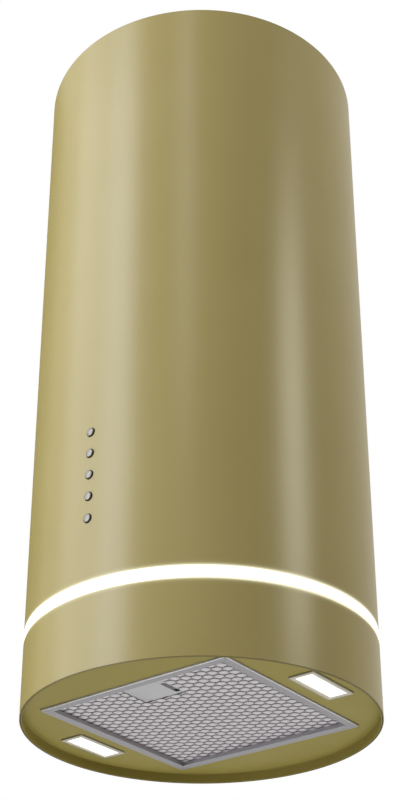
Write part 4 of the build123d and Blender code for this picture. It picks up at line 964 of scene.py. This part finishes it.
def rolled_shell(low, high, holes=()):
    """Points and faces of a rolled wall with round holes at these heights at its front."""
    columns, patch_half, soft = 512, 4, 0.35
    step = 2 * pi * shell_radius / columns
    # Places round the wall, in millimetres from the front, and the seam's shallow groove.
    back = -columns / 2 * step
    seam = [(back + 0.4, 0.3), (back + 0.55, 0.0)]
    places = seam + [((k - columns / 2) * step, 0.0) for k in range(1, columns)]
    places += [(-s, depth) for s, depth in reversed(seam)]
    # Each hole sits in a square patch of its own, finely divided round its border.
    first = places.index((-patch_half * step, 0.0))
    last = first + 2 * patch_half
    half = patch_half * step
    patch_levels = [h + step * k for h in holes for k in range(-patch_half, patch_half + 1)]
    points, faces, known = [], [], {}

    def point(s, z, depth):
        key = (round(s, 4), round(z, 4), round(depth, 4))
        if key not in known:
            known[key] = len(points)
            turn, radius = s / shell_radius, shell_radius - depth
            points.append((radius * sin(turn), -radius * cos(turn), z))
        return known[key]

    section = rounded([(0.0, low, soft), (0.0, high, soft), (shell_wall, high, soft),
                       (shell_wall, low, soft)])
    for k, (depth, z) in enumerate(section):
        next_depth, next_z = section[(k + 1) % len(section)]
        tall = abs(next_z - z) > 20
        patch_line = [*sorted(patch_levels, reverse=next_z < z), next_z]
        for c, (s, _) in enumerate(places):
            after = (c + 1) % len(places)
            if tall and holes and first <= c < last:
                next_s = places[after][0]
                for a, b in zip([z, *patch_line], patch_line):
                    if not any(abs((a + b) / 2 - h) < half for h in holes):
                        faces.append((point(s, a, depth), point(s, b, depth),
                                      point(next_s, b, depth), point(next_s, a, depth)))
                continue
            sides = []
            for at in (c, after):
                s, cut = places[at]
                near, far = [d + (cut if d < 0.3 else 0) for d in (depth, next_depth)]
                levels = patch_line if tall and first <= at <= last else [next_z]
                sides.append([point(s, z, near), *[point(s, level, far) for level in levels]])
            faces.append(tuple(sides[0] + sides[1][::-1]))
    run = [k * step - half for k in range(2 * patch_half)]
    square = [*[(a, -half) for a in run], *[(half, a) for a in run],
              *[(-a, half) for a in run], *[(-half, -a) for a in run]]
    for h in holes:
        rings = [[point(s, h + rise, 0) for s, rise in square]]
        for past, depth in hole_edge:
            shares = [(hole_radius + past) / hypot(s, rise) for s, rise in square]
            rings.append([point(s * share, h + rise * share, depth)
                          for share, (s, rise) in zip(shares, square)])
        rings.append([point(s, h + rise, shell_wall) for s, rise in square])
        for here, after in zip(rings, rings[1:]):
            for k in range(len(here)):
                more = (k + 1) % len(here)
                faces.append((here[k], here[more], after[more], after[k]))
    return points, faces


made("rolled_lower_shell", *rolled_shell(0.0, lower_shell_top), champagne, "hood",
     "champagne_shell", "lower_shell")
made("rolled_upper_shell", *rolled_shell(upper_shell_start, hood_height, button_heights),
     champagne, "hood", "champagne_shell", "upper_shell")


# ---- Studio ----
# A plain pale floor lies far below the hanging hood. Cool soft boxes stand on the left and warm
# ones on the right, with fainter ones above, in front and below, and the camera looks up at it
# from a little below the lower rim.

floor_level = lower_rim - 1.6
floor_half = 3.4


def plainly_seen(tree):
    """1 for the camera's own rays and those by way of gloss or glass, and 0 for the others."""
    ray = add(tree, "ShaderNodeLightPath")
    seen = add(tree, "ShaderNodeMath", {0: ray.outputs["Is Camera Ray"],
                                        1: ray.outputs["Is Glossy Ray"]},
               operation="MAXIMUM").outputs[0]
    return add(tree, "ShaderNodeMath", {0: seen, 1: ray.outputs["Is Transmission Ray"]},
               operation="MAXIMUM").outputs[0]


# Matt studio floor: pale and even with a faint paper grain, and whiter to the camera outwards.
paper, tree, surface, where = new_finish("matt_pale_studio_floor")
grain = add(tree, "ShaderNodeTexNoise", {"Vector": where, "Scale": per_mm(25), "Detail": 2.0})
tint = add(tree, "ShaderNodeMix", {0: grain.outputs["Fac"], 6: linear("#D8D8D6"),
                                   7: linear("#DEDEDC")}, data_type="RGBA").outputs[2]
reach = add(tree, "ShaderNodeVectorMath", {0: where}, operation="LENGTH").outputs[1]
paling = add(tree, "ShaderNodeMapRange", {0: reach, 1: 3.0, 2: 4.2, 3: 0.7, 4: 1.0}).outputs[0]
white = add(tree, "ShaderNodeMath", {0: plainly_seen(tree), 1: paling},
            operation="MULTIPLY").outputs[0]
fill(tree, surface, {"Base Color": tint, "Roughness": 0.9, "Emission Color": linear("#FFFFFF"),
                     "Emission Strength": white})
floor_mesh = bpy.data.meshes.new("studio_floor")
floor_mesh.from_pydata([(x * floor_half, y * floor_half, floor_level)
                        for x, y in ((-1, -1), (1, -1), (1, 1), (-1, 1))], [], [(0, 1, 2, 3)])
floor_mesh.materials.append(paper)
floor = bpy.data.objects.new("studio_floor", floor_mesh)
bpy.context.scene.collection.objects.link(floor)

camera_azimuth = 37.2
hood_middle = lower_rim + 0.425

# A dark flag behind the hood on the left, which only its reflections see, deepens that edge.
cloth, tree, surface, _ = new_finish("black_flag_cloth")
fill(tree, surface, {"Base Color": linear("#1C1C1A"), "Roughness": 0.9})
flag_distance, flag_low, flag_high = 2.2, -0.8, 1.9
flag_mesh = bpy.data.meshes.new("black_flag")
left, right = [(flag_distance * sin(bearing), -flag_distance * cos(bearing)) for bearing in (
    radians(camera_azimuth - 122), radians(camera_azimuth - 178))]
flag_mesh.from_pydata([(*left, flag_low), (*right, flag_low), (*right, flag_high),
                       (*left, flag_high)], [], [(0, 1, 2, 3)])
flag_mesh.materials.append(cloth)
flag = bpy.data.objects.new("black_flag", flag_mesh)
bpy.context.scene.collection.objects.link(flag)
flag.visible_camera = flag.visible_diffuse = flag.visible_shadow = False
flag.visible_transmission = False

world = bpy.data.worlds.new("studio")
world.use_nodes = True
bpy.context.scene.world = world
tree = world.node_tree
tree.nodes.clear()
soft_light = add(tree, "ShaderNodeBackground", {"Color": linear("#FFFFFF"), "Strength": 0.12})
backdrop = add(tree, "ShaderNodeBackground", {"Color": linear("#FFFFFF"), "Strength": 1.0})
mixed = add(tree, "ShaderNodeMixShader", {0: plainly_seen(tree), 1: soft_light.outputs[0],
                                          2: backdrop.outputs[0]})
add(tree, "ShaderNodeOutputWorld", {0: mixed.outputs[0]})

camera_turn = radians(camera_azimuth)
box_distance = 2.4


def soft_box(name, turn, distance, middle, width, height, strength, colour=(1, 1, 1)):
    """An upright rectangular lamp, turned about the hood from straight in front of the camera."""
    lamp = bpy.data.lights.new(name, "AREA")
    lamp.shape, lamp.size, lamp.size_y = "RECTANGLE", width, height
    lamp.energy = strength * width * height * pi
    lamp.color = colour
    box = bpy.data.objects.new(name, lamp)
    bpy.context.scene.collection.objects.link(box)
    bearing = camera_turn + radians(turn)
    box.location = (distance * sin(bearing), -distance * cos(bearing), middle)
    aim = Vector((0, 0, hood_middle)) - box.location
    box.rotation_mode = "QUATERNION"
    box.rotation_quaternion = Vector((aim.x, aim.y, 0)).to_track_quat("-Z", "Y")
    return box


# Each box: its turn from the camera in degrees, distance, middle's height, width, height in
# metres, strength and tint.
cool, warm = (0.96, 1.0, 1.12), (1.03, 1.0, 0.84)
soft_box("key_box", -56, box_distance, 0.5, 0.85, 3.7, 6.9, cool)
soft_box("left_box", -83, box_distance, 0.5, 1.4, 3.7, 3.0, cool)
soft_box("upper_box", -11, box_distance, 1.75, 0.4, 2.0, 4.2)
soft_box("right_box", 61, box_distance, 0.75, 0.75, 1.4, 9.5, warm)
soft_box("front_box", -20, box_distance, -1.1, 2.6, 1.0, 0.35)
soft_box("rim_box", 115, box_distance, -1.1, 1.6, 1.0, 3.5, warm)
bounce = soft_box("bounce_box", 0, 0.3, floor_level + 0.1, 3.2, 3.2, 0.56)
bounce.rotation_quaternion = Vector((0, 0, 1)).to_track_quat("-Z", "Y")

camera_distance, camera_drop, camera_tilt = 1.532, 0.5634, 26.88
camera_data = bpy.data.cameras.new("camera")
camera_data.lens, camera_data.sensor_width = 67.86, 36
camera_data.shift_y = 0.1875
camera = bpy.data.objects.new("camera", camera_data)
bpy.context.scene.collection.objects.link(camera)
camera.location = (camera_distance * sin(camera_turn), -camera_distance * cos(camera_turn),
                   lower_rim - camera_drop)
camera.rotation_euler = (radians(90 + camera_tilt), 0, camera_turn)
bpy.context.scene.camera = camera

bpy.context.scene.view_settings.view_transform = "Standard"
